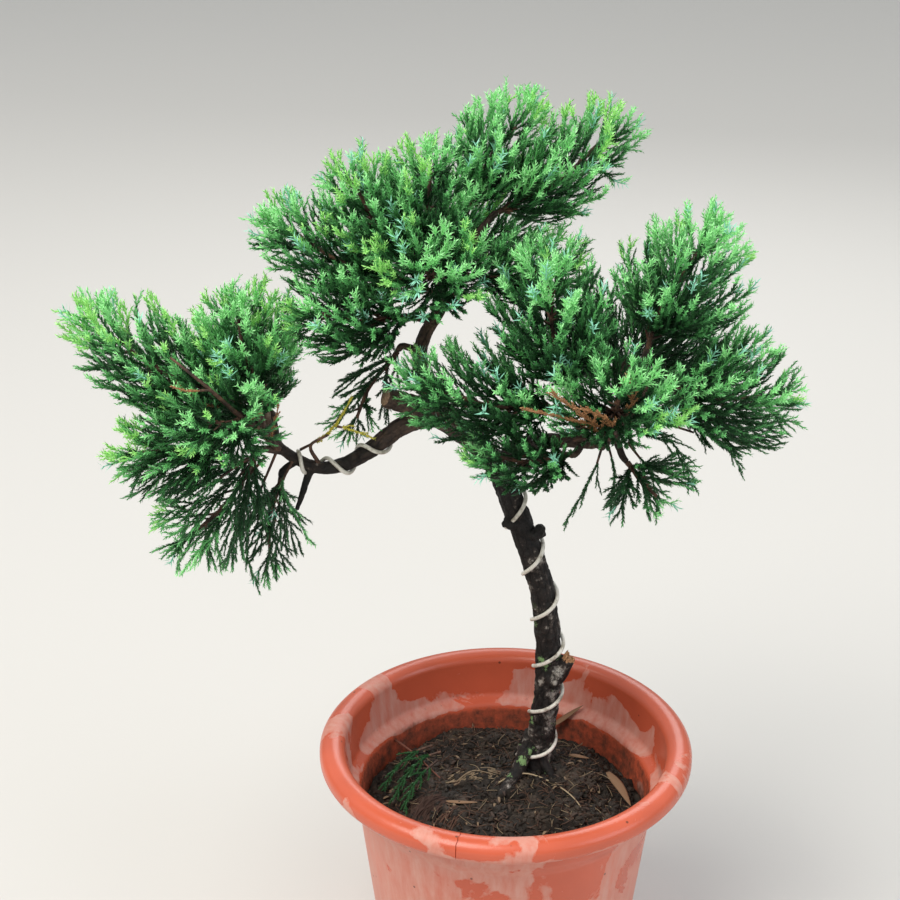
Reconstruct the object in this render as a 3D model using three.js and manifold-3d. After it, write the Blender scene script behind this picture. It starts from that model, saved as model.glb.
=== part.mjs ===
// A conifer bonsai: a juniper trained into three clouds of foliage, wired, in a round plastic pot.
// Units are millimetres, +Z is up, and the origin is the middle of the pot's flat underside.
// The side of the plant that is meant to be seen faces -Y.

import * as THREE from "three";
import { mergeVertices } from "three/addons/utils/BufferGeometryUtils.js";
import Module from "manifold-3d";

const wasm = await Module();
wasm.setup();

// Clearances
const GAP = 0.3; // between two pieces that touch
const KEEP_CLEAR = 0.5; // between foliage and whatever is next to it
const SAMPLE_SPACING = 3; // between the points of the wood that foliage is held clear of
const SIMPLIFY = 0.02; // how far a fused solid's surface may move to save triangles

// Pot: a rolled lip over a short collar, a ledge inside, and a tapered body
const POT_HEIGHT = 195;
const RIM_RADIUS = 125;
const LIP_WIDTH = 17;
const LIP_HEIGHT = 14;
const COLLAR_DEPTH = 37;
const LEDGE_RADIUS = 98;
const BASE_RADIUS = 81.5;
const POT_WALL = 2.6;
const POT_FLOOR = 3;
const POT_SEGMENTS = 36;
const DRAIN_HOLES = 4;
const DRAIN_RADIUS = 5;
const DRAIN_CIRCLE = 52; // the radius that the drain holes lie on

// Potting soil: a crown round the trunk that falls away to the wall, with lumps and hollows on it
const GROUND_LEVEL = 157;
const SOIL_CROWN_RADIUS = 50;
const SOIL_EDGE_LEVEL = 137;
const LUMP_COUNT = 36; // about 29 mm apart
const LUMP_HEIGHT = 5.5; // of the highest lump, and the depth of the deepest hollow
const LUMP_WIDTH = 10.5; // from a lump's middle to where it is steepest
const GROUND_FACES = 11; // along each side of the square that the ground is cut from
const GROUND_FACE_SIZE = 18.5;
const EVEN_GROUND = [32, 50]; // from the foot of the trunk, where the lumps begin and are full

// Trunk and boughs
const TRUNK_LENGTH = 345;
const TRUNK_FOOT_RADIUS = 9.2;
const TRUNK_RADIUS = 8.3;
const TRUNK_TOP_RADIUS = 6.2;
const FLARE = 3.6; // how far the foot swells
const FLARE_HEIGHT = 14; // over about this height
const ROOT_COUNT = 4;
const LIMB_RADIUS = 2.7;
const LIMB_TIP_RADIUS = 1.9;
const STRAIGHT_END = 4; // how long a limb's end and the stem it meets run in one line

// Training wire
const WIRE_RADIUS = 1.5;
const TRUNK_WIRE_PITCH = 37;
const BOUGH_WIRE_PITCH = 25;
const WIRE_STEPS = 11; // in each turn

// Foliage
const STEM_RADIUS = 2;
const STEM_TIP_RADIUS = 1.4;
const STEM_SHARE = 0.72; // how far the stem runs along its mass
const TWIG_RADIUS = 1.2;
const ROOT_RADIUS = 0.8; // of a twig's root, which is sunk in the stem
const TWIG_SPREAD = 44; // degrees between a frond's twig and the stem
const BARE_SHARE = 0.3; // of a frond, from the stem on
const BLADE_END = 0.94; // of a frond, where its last teeth end
const SHORTEST_REACH = 0.5; // of the way to its target that a frond must have room for
const NEEDLE_LENGTH = 27; // of the longest spray of needles on a frond
const NEEDLE_SPREAD = 37; // degrees between a spray and its twig
const NEEDLE_ROWS = 3;
const FROND_TURN = 65; // degrees a frond may be turned out of the level
const FROND_SPACING = 18; // the size of a mass for each of its fronds
const SPRAY_CLEARANCE = 1.5; // round a spray, that the other fronds of its mass keep out of
const MASS_MIDDLE = 0.55; // where a mass is widest, along its axis
const MASS_HALF_LENGTH = 0.5; // as a share of its axis
const OUTERMOST = 1.06; // how deep in its mass's egg a frond's tip may lie, 1 being the skin
const GOLDEN_ANGLE = Math.PI * (3 - Math.sqrt(5));

// Colours
const POT_ORANGE = 0xc8502f;
const SOIL_BROWN = 0x2e241d;
const BARK_BROWN = 0x4a3d35;
const WIRE_WHITE = 0xdcd8ce;
const LEAF_GREEN = 0x3f8a3c;

const vec = (x, y, z) => new THREE.Vector3(x, y, z);
const UP = vec(0, 0, 1);
const BACK = vec(0, 1, 0);
const radians = THREE.MathUtils.degToRad;
const mix = THREE.MathUtils.lerp;

// Solids: a closed three.js geometry becomes a solid, and a solid becomes a geometry again
function solidOf(geometry) {
  const bare = geometry.clone();
  bare.deleteAttribute("normal");
  bare.deleteAttribute("uv");
  const merged = mergeVertices(bare, 1e-4);
  return new wasm.Manifold(
    new wasm.Mesh({
      numProp: 3,
      vertProperties: new Float32Array(merged.attributes.position.array),
      triVerts: new Uint32Array(merged.index.array),
    }),
  );
}

function geometryOf(solid) {
  const { vertProperties, triVerts } = solid.getMesh();
  const geometry = new THREE.BufferGeometry();
  geometry.setAttribute("position", new THREE.BufferAttribute(vertProperties, 3));
  geometry.setIndex(new THREE.BufferAttribute(triVerts, 1));
  geometry.computeVertexNormals();
  return geometry;
}

// A cut can leave a loose scrap, which is dropped
function largestBody(solid) {
  const bodies = solid.simplify(SIMPLIFY).decompose();
  return bodies.reduce((most, body) => (body.volume() > most.volume() ? body : most));
}

const fuse = (solids) => largestBody(wasm.Manifold.union(solids));

const finish = (color, roughness, metalness = 0) =>
  new THREE.MeshStandardMaterial({ color, roughness, metalness });

const materials = {
  pot: finish(POT_ORANGE, 0.45),
  soil: finish(SOIL_BROWN, 0.95),
  bark: finish(BARK_BROWN, 0.85),
  wire: finish(WIRE_WHITE, 0.5),
  foliage: finish(LEAF_GREEN, 0.6),
};

const bonsai = new THREE.Group();

function addPiece(name, geometry, material) {
  const mesh = new THREE.Mesh(geometry, material);
  mesh.name = name;
  bonsai.add(mesh);
  return mesh;
}

// A seeded row of numbers from 0 to 1, the same on every run
function seededRandom(seed) {
  let state = seed >>> 0;
  return () => {
    state = (state + 0x6d2b79f5) >>> 0;
    let t = Math.imul(state ^ (state >>> 15), state | 1);
    t ^= t + Math.imul(t ^ (t >>> 7), t | 61);
    return ((t ^ (t >>> 14)) >>> 0) / 4294967296;
  };
}

// Curved and tapering tubes
const curveThrough = (points) =>
  new THREE.CatmullRomCurve3(points, false, "catmullrom", 0.5);

function sidewaysOf(direction) {
  const reference = Math.abs(direction.clone().normalize().z) > 0.8 ? vec(1, 0, 0) : UP;
  return direction.clone().cross(reference).normalize();
}

const chordOf = (curve) => curve.getPoint(1).sub(curve.getPoint(0));

// Two directions square to the curve at t, which turn as little as the curve does
function frameAt(curve, t, reference) {
  const along = curve.getTangent(t);
  const side = reference.clone().addScaledVector(along, -reference.dot(along)).normalize();
  return { along, side, other: side.clone().cross(along) };
}

// A cylinder bent along a curve, with the radius that radiusAt gives at each share t of it
function bentTube(curve, radiusAt, sides, steps, reference = sidewaysOf(chordOf(curve))) {
  const tube = new THREE.CylinderGeometry(1, 1, 1, sides, steps);
  const position = tube.attributes.position;
  for (let i = 0; i < position.count; i++) {
    const t = position.getY(i) + 0.5;
    const { side, other } = frameAt(curve, t, reference);
    const point = curve.getPoint(t);
    point.addScaledVector(side, position.getX(i) * radiusAt(t));
    point.addScaledVector(other, position.getZ(i) * radiusAt(t));
    position.setXYZ(i, point.x, point.y, point.z);
  }
  return tube;
}

// Limbs: each is a curve with a radius along it, and keeps foliage off by its girth
function limb(points, radiusAt, sides, steps, girth = 0) {
  const curve = curveThrough(points);
  return { curve, radiusAt, sides, steps, girth, length: curve.getLength() };
}

const tapering = (from, to) => (t) => mix(from, to, t);

function limbSolid(one, extra = 0) {
  const radiusAt = (t) => one.radiusAt(t) + extra;
  return solidOf(bentTube(one.curve, radiusAt, one.sides, one.steps));
}

// Pot: turned, with drain holes through its floor
function potGeometry() {
  const lipInner = RIM_RADIUS - LIP_WIDTH;
  const lipBottom = POT_HEIGHT - LIP_HEIGHT;
  const ledgeLevel = POT_HEIGHT - COLLAR_DEPTH;
  const lipRound = LIP_HEIGHT / 2;
  const outline = [
    [0, 0],
    [BASE_RADIUS, 0],
    [LEDGE_RADIUS + POT_WALL, ledgeLevel - POT_WALL],
    [lipInner - POT_WALL, ledgeLevel + 2 * POT_WALL],
    [lipInner + POT_WALL, lipBottom + 2],
    [RIM_RADIUS - 2, lipBottom],
    [RIM_RADIUS, lipBottom + 3],
  ];
  const lipSteps = 6;
  for (let i = 1; i <= lipSteps; i++) {
    const turn = (Math.PI * i) / lipSteps;
    outline.push([
      RIM_RADIUS - (LIP_WIDTH / 2) * (1 - Math.cos(turn)),
      POT_HEIGHT - lipRound + lipRound * Math.sin(turn),
    ]);
  }
  outline.push(
    [lipInner - 3, ledgeLevel + 6],
    [LEDGE_RADIUS + 1, ledgeLevel + 1],
    [LEDGE_RADIUS, ledgeLevel - 2],
    [BASE_RADIUS - POT_WALL, POT_FLOOR],
    [0, POT_FLOOR],
  );
  let pot = solidOf(latheOf(outline));
  for (let i = 0; i < DRAIN_HOLES; i++) {
    const turn = (2 * Math.PI * (i + 0.5)) / DRAIN_HOLES;
    const hole = new THREE.CylinderGeometry(DRAIN_RADIUS, DRAIN_RADIUS, 4 * POT_FLOOR, 10);
    hole.rotateX(Math.PI / 2);
    hole.translate(DRAIN_CIRCLE * Math.cos(turn), DRAIN_CIRCLE * Math.sin(turn), 0);
    pot = pot.subtract(solidOf(hole));
  }
  return geometryOf(pot);
}

// A turned solid whose axis is Z, from its outline of radius and height
function latheOf(outline) {
  const points = outline.map(([radius, height]) => new THREE.Vector2(radius, height));
  return new THREE.LatheGeometry(points, POT_SEGMENTS).rotateX(Math.PI / 2);
}

function wallRadiusAt(level) {
  const top = POT_HEIGHT - COLLAR_DEPTH - 2;
  const share = (level - POT_FLOOR) / (top - POT_FLOOR);
  return mix(BASE_RADIUS - POT_WALL, LEDGE_RADIUS, share);
}

// Lumps and hollows, spread evenly in a spiral and each with a height of its own
function soilLumps() {
  const random = seededRandom(5);
  const lumps = [];
  for (let i = 0; i < LUMP_COUNT; i++) {
    const reach = LEDGE_RADIUS * Math.sqrt((i + 0.5) / LUMP_COUNT);
    const turn = i * GOLDEN_ANGLE;
    lumps.push({
      x: reach * Math.cos(turn),
      y: reach * Math.sin(turn),
      height: mix(-LUMP_HEIGHT, LUMP_HEIGHT, random()),
    });
  }
  return lumps;
}

// The mound falls in two straight slopes, the second steeper than the first
function moundLevelAt(radius) {
  const shoulder = mix(SOIL_CROWN_RADIUS, LEDGE_RADIUS, 0.6);
  const shoulderLevel = mix(GROUND_LEVEL, SOIL_EDGE_LEVEL, 0.55);
  if (radius < SOIL_CROWN_RADIUS) return GROUND_LEVEL;
  if (radius < shoulder) {
    const share = (radius - SOIL_CROWN_RADIUS) / (shoulder - SOIL_CROWN_RADIUS);
    return mix(GROUND_LEVEL, shoulderLevel, share);
  }
  const share = Math.min(1, (radius - shoulder) / (LEDGE_RADIUS - shoulder));
  return mix(shoulderLevel, SOIL_EDGE_LEVEL, share);
}

// A box whose top is the ground, cut to the inside of the pot
function soilGeometry() {
  const bottom = POT_FLOOR + GAP;
  const clear = 2 * GAP;
  const size = GROUND_FACES * GROUND_FACE_SIZE;
  const ground = new THREE.BoxGeometry(size, size, GROUND_LEVEL, GROUND_FACES, GROUND_FACES);
  ground.translate(0, 0, GROUND_LEVEL / 2);
  const lumps = soilLumps();
  const position = ground.attributes.position;
  for (let i = 0; i < position.count; i++) {
    if (position.getZ(i) < GROUND_LEVEL - GAP) continue;
    const x = position.getX(i);
    const y = position.getY(i);
    const fromTrunk = Math.hypot(x - TRUNK_FOOT.x, y - TRUNK_FOOT.y);
    let relief = 0;
    for (const lump of lumps) {
      const away = Math.hypot(x - lump.x, y - lump.y) / LUMP_WIDTH;
      relief += lump.height * Math.exp(-0.5 * away * away);
    }
    relief *= THREE.MathUtils.smoothstep(fromTrunk, ...EVEN_GROUND);
    position.setZ(i, moundLevelAt(Math.hypot(x, y)) + relief);
  }
  const inside = latheOf([
    [0, bottom],
    [wallRadiusAt(bottom) - clear, bottom],
    [wallRadiusAt(GROUND_LEVEL) - clear, GROUND_LEVEL],
    [wallRadiusAt(GROUND_LEVEL) - clear, POT_HEIGHT],
    [0, POT_HEIGHT],
  ]);
  return geometryOf(largestBody(solidOf(inside).intersect(solidOf(ground))));
}

// Trunk: leans and bends to the left as it climbs, and ends at a sawn stub
const TRUNK_FOOT = vec(19, 22, GROUND_LEVEL - 6); // cut off at the ground
const WIRE_GIRTH = 2 * WIRE_RADIUS + GAP;

function trunkRadiusAt(t) {
  const foot = mix(TRUNK_FOOT_RADIUS, TRUNK_RADIUS, Math.min(1, 3 * t));
  const swell = FLARE * Math.exp((-t * TRUNK_LENGTH) / FLARE_HEIGHT);
  return mix(foot, TRUNK_TOP_RADIUS, t ** 3) + swell;
}

const trunk = limb(
  [
    TRUNK_FOOT,
    vec(25.5, 22, 186),
    vec(29, 22, 222),
    vec(28.5, 22, 256),
    vec(24.5, 21, 290),
    vec(17, 20, 319),
    vec(5, 19, 354),
    vec(-7, 18, 385),
    vec(-24, 17, 405),
    vec(-50, 13, 425),
    vec(-77, 2, 439),
  ],
  trunkRadiusAt,
  10,
  26,
  WIRE_GIRTH,
);

// Training wire: a helix that lies on the bark, from one share of the limb's length to another
const trunkWire = { limb: trunk, from: 0.03, to: 0.66, pitch: TRUNK_WIRE_PITCH, firstTurn: 67 };

function wireGeometry({ limb: one, from, to, pitch, firstTurn }, extra = 0) {
  const turns = ((to - from) * one.length) / pitch;
  const steps = Math.round(turns * WIRE_STEPS);
  const points = [];
  for (let i = 0; i <= steps; i++) {
    const t = one.curve.getUtoTmapping(mix(from, to, i / steps), 0);
    const turn = radians(firstTurn) + (2 * Math.PI * turns * i) / steps;
    const { side, other } = frameAt(one.curve, t, BACK);
    const radius = one.radiusAt(t) + WIRE_RADIUS + GAP;
    const point = one.curve.getPoint(t).addScaledVector(side, radius * Math.cos(turn));
    points.push(point.addScaledVector(other, -radius * Math.sin(turn)));
  }
  const helix = curveThrough(points);
  const reference = chordOf(one.curve).normalize();
  return bentTube(helix, () => WIRE_RADIUS + extra, 5, steps, reference);
}

// A surface root that leaves the foot and runs down into the soil
function rootSolid(turn, reach, height) {
  const outward = vec(Math.cos(turn), Math.sin(turn), 0);
  const foot = vec(TRUNK_FOOT.x, TRUNK_FOOT.y, GROUND_LEVEL);
  const points = [
    foot.clone().addScaledVector(UP, height).addScaledVector(outward, 2),
    foot.clone().addScaledVector(UP, 8).addScaledVector(outward, 0.5 * reach),
    foot.clone().addScaledVector(UP, -6).addScaledVector(outward, reach),
  ];
  return limbSolid(limb(points, tapering(4.2, 3), 6, 3));
}

// A knot or burr: a lump that stands out of the trunk
function burrSolid(x, y, z, size) {
  const lump = new THREE.IcosahedronGeometry(size, 1);
  return solidOf(lump.translate(x, y, z));
}

// The trunk with its surface roots, burrs and the broken stub low on the right, cut at the ground
function trunkGeometry() {
  const random = seededRandom(11);
  const pieces = [limbSolid(trunk)];
  for (let i = 0; i < ROOT_COUNT; i++) {
    const turn = (2 * Math.PI * (i + 0.5 * random())) / ROOT_COUNT + radians(200);
    pieces.push(rootSolid(turn, mix(16, 24, random()), mix(16, 28, random())));
  }
  const stub = limb([vec(29, 22, 225), vec(37, 21, 233), vec(44, 19, 243)], tapering(6.6, 4.4), 7, 3);
  pieces.push(limbSolid(stub));
  pieces.push(burrSolid(0.5, 12, 349, 5.2));
  pieces.push(burrSolid(20, 15, 340, 5.6));
  const ground = new THREE.BoxGeometry(200, 200, 40);
  ground.translate(0, 0, GROUND_LEVEL + GAP - 20);
  const groove = solidOf(wireGeometry(trunkWire, GAP));
  return geometryOf(largestBody(fuse(pieces).subtract(solidOf(ground)).subtract(groove)));
}

// Boughs: each leaves its parent and ends where its foliage begins
const boughs = {
  bough_left: limb(
    [
      vec(-46, 14, 422),
      vec(-68, 11, 416),
      vec(-87, 9, 401),
      vec(-106, 5, 392),
      vec(-124, 2, 393),
      vec(-145, -1, 408),
      vec(-169, -6, 440),
    ],
    tapering(6.4, 2.6),
    8,
    14,
    WIRE_GIRTH,
  ),
  bough_top: limb(
    [vec(-38, 15, 418), vec(-55, 22, 445), vec(-54, 27, 469), vec(-42, 32, 491), vec(-47, 28, 526)],
    tapering(5.8, 2.6),
    7,
    11,
  ),
  bough_right: limb(
    [
      vec(-8, 18, 385),
      vec(10, 9, 404),
      vec(34, -2, 412),
      vec(57, -8, 415),
      vec(78, 0, 435),
      vec(84, 5, 470),
    ],
    tapering(6, 2.6),
    7,
    13,
  ),
};

const boughWire = {
  limb: boughs.bough_left,
  from: 0.2,
  to: 0.66,
  pitch: BOUGH_WIRE_PITCH,
  firstTurn: -26,
};

// A limb cut clear of the one that it leaves, and grooved where its wire bites
function branchGeometry(one, parent, wire) {
  let branch = limbSolid(one).subtract(limbSolid(parent, GAP));
  if (wire) branch = branch.subtract(solidOf(wireGeometry(wire, GAP)));
  return geometryOf(largestBody(branch));
}

// Masses of foliage. A mass grows from the tip of its limb towards its own tip, inside an egg of
// the given half width, level and across, and half depth. A limb leaves its bough at a share of it.
const mass = (bough, share, root, tip, wide, deep, curl = 0.16) => ({
  bough,
  share,
  root: vec(...root),
  tip: vec(...tip),
  wide,
  deep,
  curl,
});

const masses = {
  left_tip: mass("bough_left", 1, [-169, -6, 441], [-266, -14, 500], 42, 34),
  left_crest: mass("bough_left", 0.86, [-154, 8, 440], [-172, 14, 506], 58, 40),
  left_side: mass("bough_left", 0.93, [-170, -16, 424], [-244, -34, 412], 42, 34, 0),
  left_fall: mass("bough_left", 0.8, [-156, -14, 408], [-212, -22, 338], 44, 36, -0.1),
  left_front: mass("bough_left", 0.89, [-156, -20, 438], [-186, -74, 452], 44, 32),
  left_back: mass("bough_left", 0.83, [-152, 18, 424], [-206, 78, 444], 54, 42),
  left_skirt: mass("bough_left", 0.74, [-144, 4, 384], [-156, -4, 314], 26, 22, -0.14),
  top_left: mass("bough_top", 0.78, [-64, 26, 506], [-154, 22, 548], 46, 34),
  top_shoulder: mass("bough_top", 0.9, [-60, 20, 524], [-106, 12, 586], 42, 34),
  top_low_left: mass("bough_top", 0.62, [-64, 14, 488], [-132, -26, 504], 42, 34),
  top_mid: mass("bough_top", 1, [-48, 27, 527], [-50, 20, 596], 48, 38),
  top_front: mass("bough_top", 0.83, [-44, 14, 516], [-56, -50, 540], 46, 34),
  top_right: mass("bough_top", 0.87, [-8, 34, 548], [76, 40, 606], 38, 34),
  top_crest: mass("bough_top", 0.95, [-26, 44, 548], [14, 54, 616], 44, 34),
  top_back: mass("bough_top", 0.74, [-42, 54, 508], [-44, 118, 544], 74, 42),
  top_droop: mass("bough_top", 0.42, [-70, 22, 462], [-106, 12, 404], 26, 22, -0.14),
  top_low_right: mass("bough_top", 0.69, [-24, 26, 510], [48, 22, 520], 38, 32),
  right_left: mass("bough_right", 0.56, [27, -14, 438], [-68, -46, 468], 42, 34),
  right_mid: mass("bough_right", 0.64, [36, -8, 452], [18, -24, 544], 54, 44),
  right_front: mass("bough_right", 0.72, [62, -20, 438], [60, -82, 478], 50, 34),
  right_crest: mass("bough_right", 1, [84, 5, 471], [122, 4, 556], 56, 44),
  right_far: mass("bough_right", 0.86, [92, -6, 450], [176, -20, 446], 52, 42),
  right_skirt: mass("bough_right", 0.66, [72, -18, 404], [96, -40, 382], 48, 22, -0.14),
  right_back: mass("bough_right", 0.74, [70, 26, 446], [98, 96, 458], 70, 44),
  right_low: mass("bough_right", 0.5, [36, -20, 410], [-24, -58, 424], 38, 24),
};

// Each mass's axis, the level direction across it and the direction square to both
for (const one of Object.values(masses)) {
  const axis = one.tip.clone().sub(one.root);
  one.length = axis.length();
  one.along = axis.normalize();
  one.across = sidewaysOf(one.along);
  one.lift = one.across.clone().cross(one.along);
}

// How deep a point lies in a mass's egg: 0 at its middle, 1 on its skin, more outside
function depthIn(one, point) {
  const from = point.clone().sub(one.root);
  const share = from.dot(one.along) / one.length;
  const along = (share - MASS_MIDDLE) / MASS_HALF_LENGTH;
  return (
    along ** 2 + (from.dot(one.across) / one.wide) ** 2 + (from.dot(one.lift) / one.deep) ** 2
  );
}

// The limb of each mass, from its bough to the mass's root. The last mass of a bough has none:
// its stem carries straight on from the bough's tip.
const limbs = {};
for (const [name, one] of Object.entries(masses)) {
  const bough = boughs[one.bough];
  if (one.share === 1) {
    one.leaves = bough.curve.getTangent(1);
    one.root = bough.curve.getPoint(1).addScaledVector(one.leaves, GAP);
    continue;
  }
  one.leaves = one.along;
  const start = bough.curve.getPoint(one.share);
  const end = one.root.clone().addScaledVector(one.along, -GAP);
  const straight = end.clone().addScaledVector(one.along, -STRAIGHT_END);
  const between = start.clone().lerp(straight, 0.5);
  const points = [start, between, straight, end];
  limbs[name] = limb(points, tapering(LIMB_RADIUS, LIMB_TIP_RADIUS), 6, 3);
}

function stemOf(one) {
  const end = one.root.clone().addScaledVector(one.along, STEM_SHARE * one.length);
  const start = one.root.clone().addScaledVector(one.leaves, STRAIGHT_END);
  const middle = one.root.clone().lerp(end, 0.55).addScaledVector(one.lift, -0.05 * one.length);
  return limb([one.root, start, middle, end], tapering(STEM_RADIUS, STEM_TIP_RADIUS), 4, 4);
}

// What foliage is held clear of, as points along it
function sampled(one) {
  const steps = Math.ceil(one.length / SAMPLE_SPACING);
  return Array.from({ length: steps + 1 }, (_, i) => {
    const t = i / steps;
    return { point: one.curve.getPoint(t), radius: one.radiusAt(t) + one.girth };
  });
}

const stems = Object.fromEntries(Object.entries(masses).map(([n, m]) => [n, stemOf(m)]));
const wood = [trunk, ...Object.values(boughs), ...Object.values(limbs)].flatMap(sampled);
const stemSamples = Object.fromEntries(Object.entries(stems).map(([n, s]) => [n, sampled(s)]));

function distanceToSegment(point, start, end) {
  const span = end.clone().sub(start);
  const share = point.clone().sub(start).dot(span) / Math.max(span.lengthSq(), 1e-9);
  return start.clone().addScaledVector(span, THREE.MathUtils.clamp(share, 0, 1)).distanceTo(point);
}

// How far a point is from a mass's stem, in units of how far that mass spreads
function farFrom(name, point) {
  const line = stemSamples[name];
  const distances = line.slice(1).map((s, i) => distanceToSegment(point, line[i].point, s.point));
  return Math.min(...distances) / spreadOf(name);
}

const spreadOf = (name) => 0.5 * (masses[name].wide + masses[name].deep);

// At least how far a point is on its own mass's side of the border with another mass
function marginTo(name, other, point) {
  const reach = 1 / spreadOf(name) + 1 / spreadOf(other);
  return (farFrom(other, point) - farFrom(name, point)) / reach;
}

// Whether a straight piece of foliage stays in its mass's space, clear of wood, of other masses
// and of the fronds that its own mass has already
function fits(name, start, end, radius, fronds) {
  if (depthIn(masses[name], end) > OUTERMOST) return false;
  const room = radius + KEEP_CLEAR;
  const points = [0, 0.5, 1].map((share) => start.clone().lerp(end, share));
  for (const other of Object.keys(masses)) {
    if (other === name) continue;
    if (points.some((point) => marginTo(name, other, point) < room)) return false;
  }
  const near = (s) => distanceToSegment(s.point, start, end) < s.radius + room;
  return !wood.some(near) && !fronds.some(near);
}

// Points spread evenly over a mass's skin, from its tip back towards its root
function targetsOf(one, count) {
  const targets = [];
  for (let k = 0; k < count; k++) {
    const along = 1 - (1.72 * (k + 0.5)) / count;
    const ring = Math.sqrt(1 - along ** 2);
    const turn = k * GOLDEN_ANGLE;
    targets.push(
      one.root
        .clone()
        .addScaledVector(one.along, one.length * (MASS_MIDDLE + MASS_HALF_LENGTH * along))
        .addScaledVector(one.across, one.wide * ring * Math.cos(turn))
        .addScaledVector(one.lift, one.deep * ring * Math.sin(turn)),
    );
  }
  return targets;
}

// A frond's twig: from a share of the stem to a target, curling to its end
function twigTo(name, target, leaves) {
  const one = masses[name];
  const start = stems[name].curve.getPoint(leaves);
  const length = start.distanceTo(target);
  const middle = start.clone().lerp(target, 0.5).addScaledVector(UP, -one.curl * length);
  middle.addScaledVector(one.along, 0.1 * length);
  return new THREE.QuadraticBezierCurve3(start, middle, target);
}

// The longest part of a twig, from the stem on, that stays in its mass's space
function fittingShare(name, twig, fronds) {
  const stations = [0, BARE_SHARE, 0.5, 0.7, 0.85, 1];
  let share = 0;
  for (let i = 1; i < stations.length; i++) {
    const start = twig.getPoint(stations[i - 1]);
    const others = i === 1 ? [] : fronds;
    if (!fits(name, start, twig.getPoint(stations[i]), TWIG_RADIUS, others)) break;
    share = stations[i];
  }
  return share;
}

// The twig to a target that leaves at the spread angle, or the next one along that has more room
function bestTwig(name, target, fronds) {
  const one = masses[name];
  const from = target.clone().sub(one.root);
  const share = from.dot(one.along) / one.length;
  const aside = from.clone().addScaledVector(one.along, -share * one.length).length();
  const back = aside / Math.tan(radians(TWIG_SPREAD)) / one.length;
  const first = THREE.MathUtils.clamp((share - back) / STEM_SHARE, 0.1, 0.96);
  let best = { reach: 0 };
  for (let leaves = first; leaves < 1 && best.reach < 0.85; leaves += 0.12) {
    const twig = twigTo(name, target, leaves);
    const reach = fittingShare(name, twig, fronds);
    if (reach > best.reach) best = { twig, reach };
  }
  return best;
}

// The tips of the teeth on one side of a frond, each drawn in until it fits
function toothTips(name, rows, sign, fronds, random) {
  return rows.map(({ point, along, side, other }, row) => {
    const spread = radians(NEEDLE_SPREAD * mix(0.85, 1.15, random()));
    const fold = radians(mix(-15, 40, random()));
    const aim = along.clone().multiplyScalar(Math.cos(spread));
    aim.addScaledVector(side, sign * Math.sin(spread) * Math.cos(fold));
    aim.addScaledVector(other, Math.sin(spread) * Math.sin(fold));
    const full = NEEDLE_LENGTH * (1 - 0.13 * row) * mix(0.85, 1.15, random());
    const start = point.clone().addScaledVector(aim, 0.2 * full);
    const longest = [full, 0.75 * full, 0.5 * full].find((length) =>
      fits(name, start, point.clone().addScaledVector(aim, length), TWIG_RADIUS, fronds),
    );
    return point.clone().addScaledVector(aim, longest ?? 3 * TWIG_RADIUS);
  });
}

// The four corners of a twig at one of its rings, square to it
function cornersOf({ point, radius, side, other }) {
  return [side, other, side.clone().negate(), other.clone().negate()].map((direction) =>
    point.clone().addScaledVector(direction, radius),
  );
}

// A blade's solid: a four-sided twig to its first row, and from there on a tooth on either side
// between one ring and the next, up to a point
function bladeSolid(rings, right, left, tip) {
  const corners = rings.flatMap(cornersOf);
  const points = [...corners, ...right, ...left, tip];
  const faces = [];
  const fan = (hub, ...rim) => {
    for (let i = 1; i < rim.length; i++) faces.push(hub, rim[i - 1], rim[i]);
  };
  fan(0, 1, 2, 3);
  for (let ring = 0; ring < rings.length - 1; ring++) {
    const [a, b, c, d] = [0, 1, 2, 3].map((corner) => 4 * ring + corner);
    const [e, f, g, h] = [4, 5, 6, 7].map((corner) => 4 * ring + corner);
    if (ring === 0) {
      fan(a, d, h, e);
      fan(b, a, e, f);
      fan(c, b, f, g);
      fan(d, c, g, h);
      continue;
    }
    const rightTip = corners.length + ring - 1;
    const leftTip = rightTip + right.length;
    fan(rightTip, b, a);
    fan(rightTip, e, f, b);
    fan(rightTip, a, d, h, e);
    fan(leftTip, c, b, f, g);
    fan(leftTip, g, h, d, c);
  }
  const [w, x, y, z] = [4, 3, 2, 1].map((back) => corners.length - back);
  fan(points.length - 1, z, y, x, w, z);
  return solidOf(new THREE.BufferGeometry().setFromPoints(points).setIndex(faces));
}

// A frond: a bare twig that goes over into a toothed blade, whose teeth are its sprays of needles.
// It notes where it lies among the fronds of its mass, and one with no room isn't made.
function frondSolid(name, target, fronds, random) {
  const { twig, reach } = bestTwig(name, target, fronds);
  if (reach < SHORTEST_REACH) return [];
  const turn = radians(FROND_TURN) * (2 * random() - 1);
  const reference = sidewaysOf(chordOf(twig)).applyAxisAngle(chordOf(twig).normalize(), turn);
  const ringAt = (share, radius) => ({
    point: twig.getPoint(share * reach),
    radius,
    ...frameAt(twig, share * reach, reference),
  });
  const rings = [ringAt(0, ROOT_RADIUS)];
  for (let row = 0; row <= NEEDLE_ROWS; row++) {
    const share = mix(BARE_SHARE, BLADE_END, row / NEEDLE_ROWS);
    rings.push(ringAt(share, TWIG_RADIUS * mix(1, 0.7, share)));
  }
  const rows = rings.slice(1, -1);
  const right = toothTips(name, rows, 1, fronds, random);
  const left = toothTips(name, rows, -1, fronds, random);
  const tip = twig.getPoint(reach);
  rows.forEach(({ point }, row) => {
    for (const tooth of [right[row], left[row]]) {
      for (const share of [0, 0.25, 0.5, 0.75, 1]) {
        fronds.push({ point: point.clone().lerp(tooth, share), radius: SPRAY_CLEARANCE });
      }
    }
  });
  for (const share of [0.5 * BARE_SHARE, 0.75 * BARE_SHARE, 1]) {
    fronds.push({ point: twig.getPoint(share * reach), radius: TWIG_RADIUS });
  }
  return [bladeSolid(rings, right, left, tip)];
}

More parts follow.
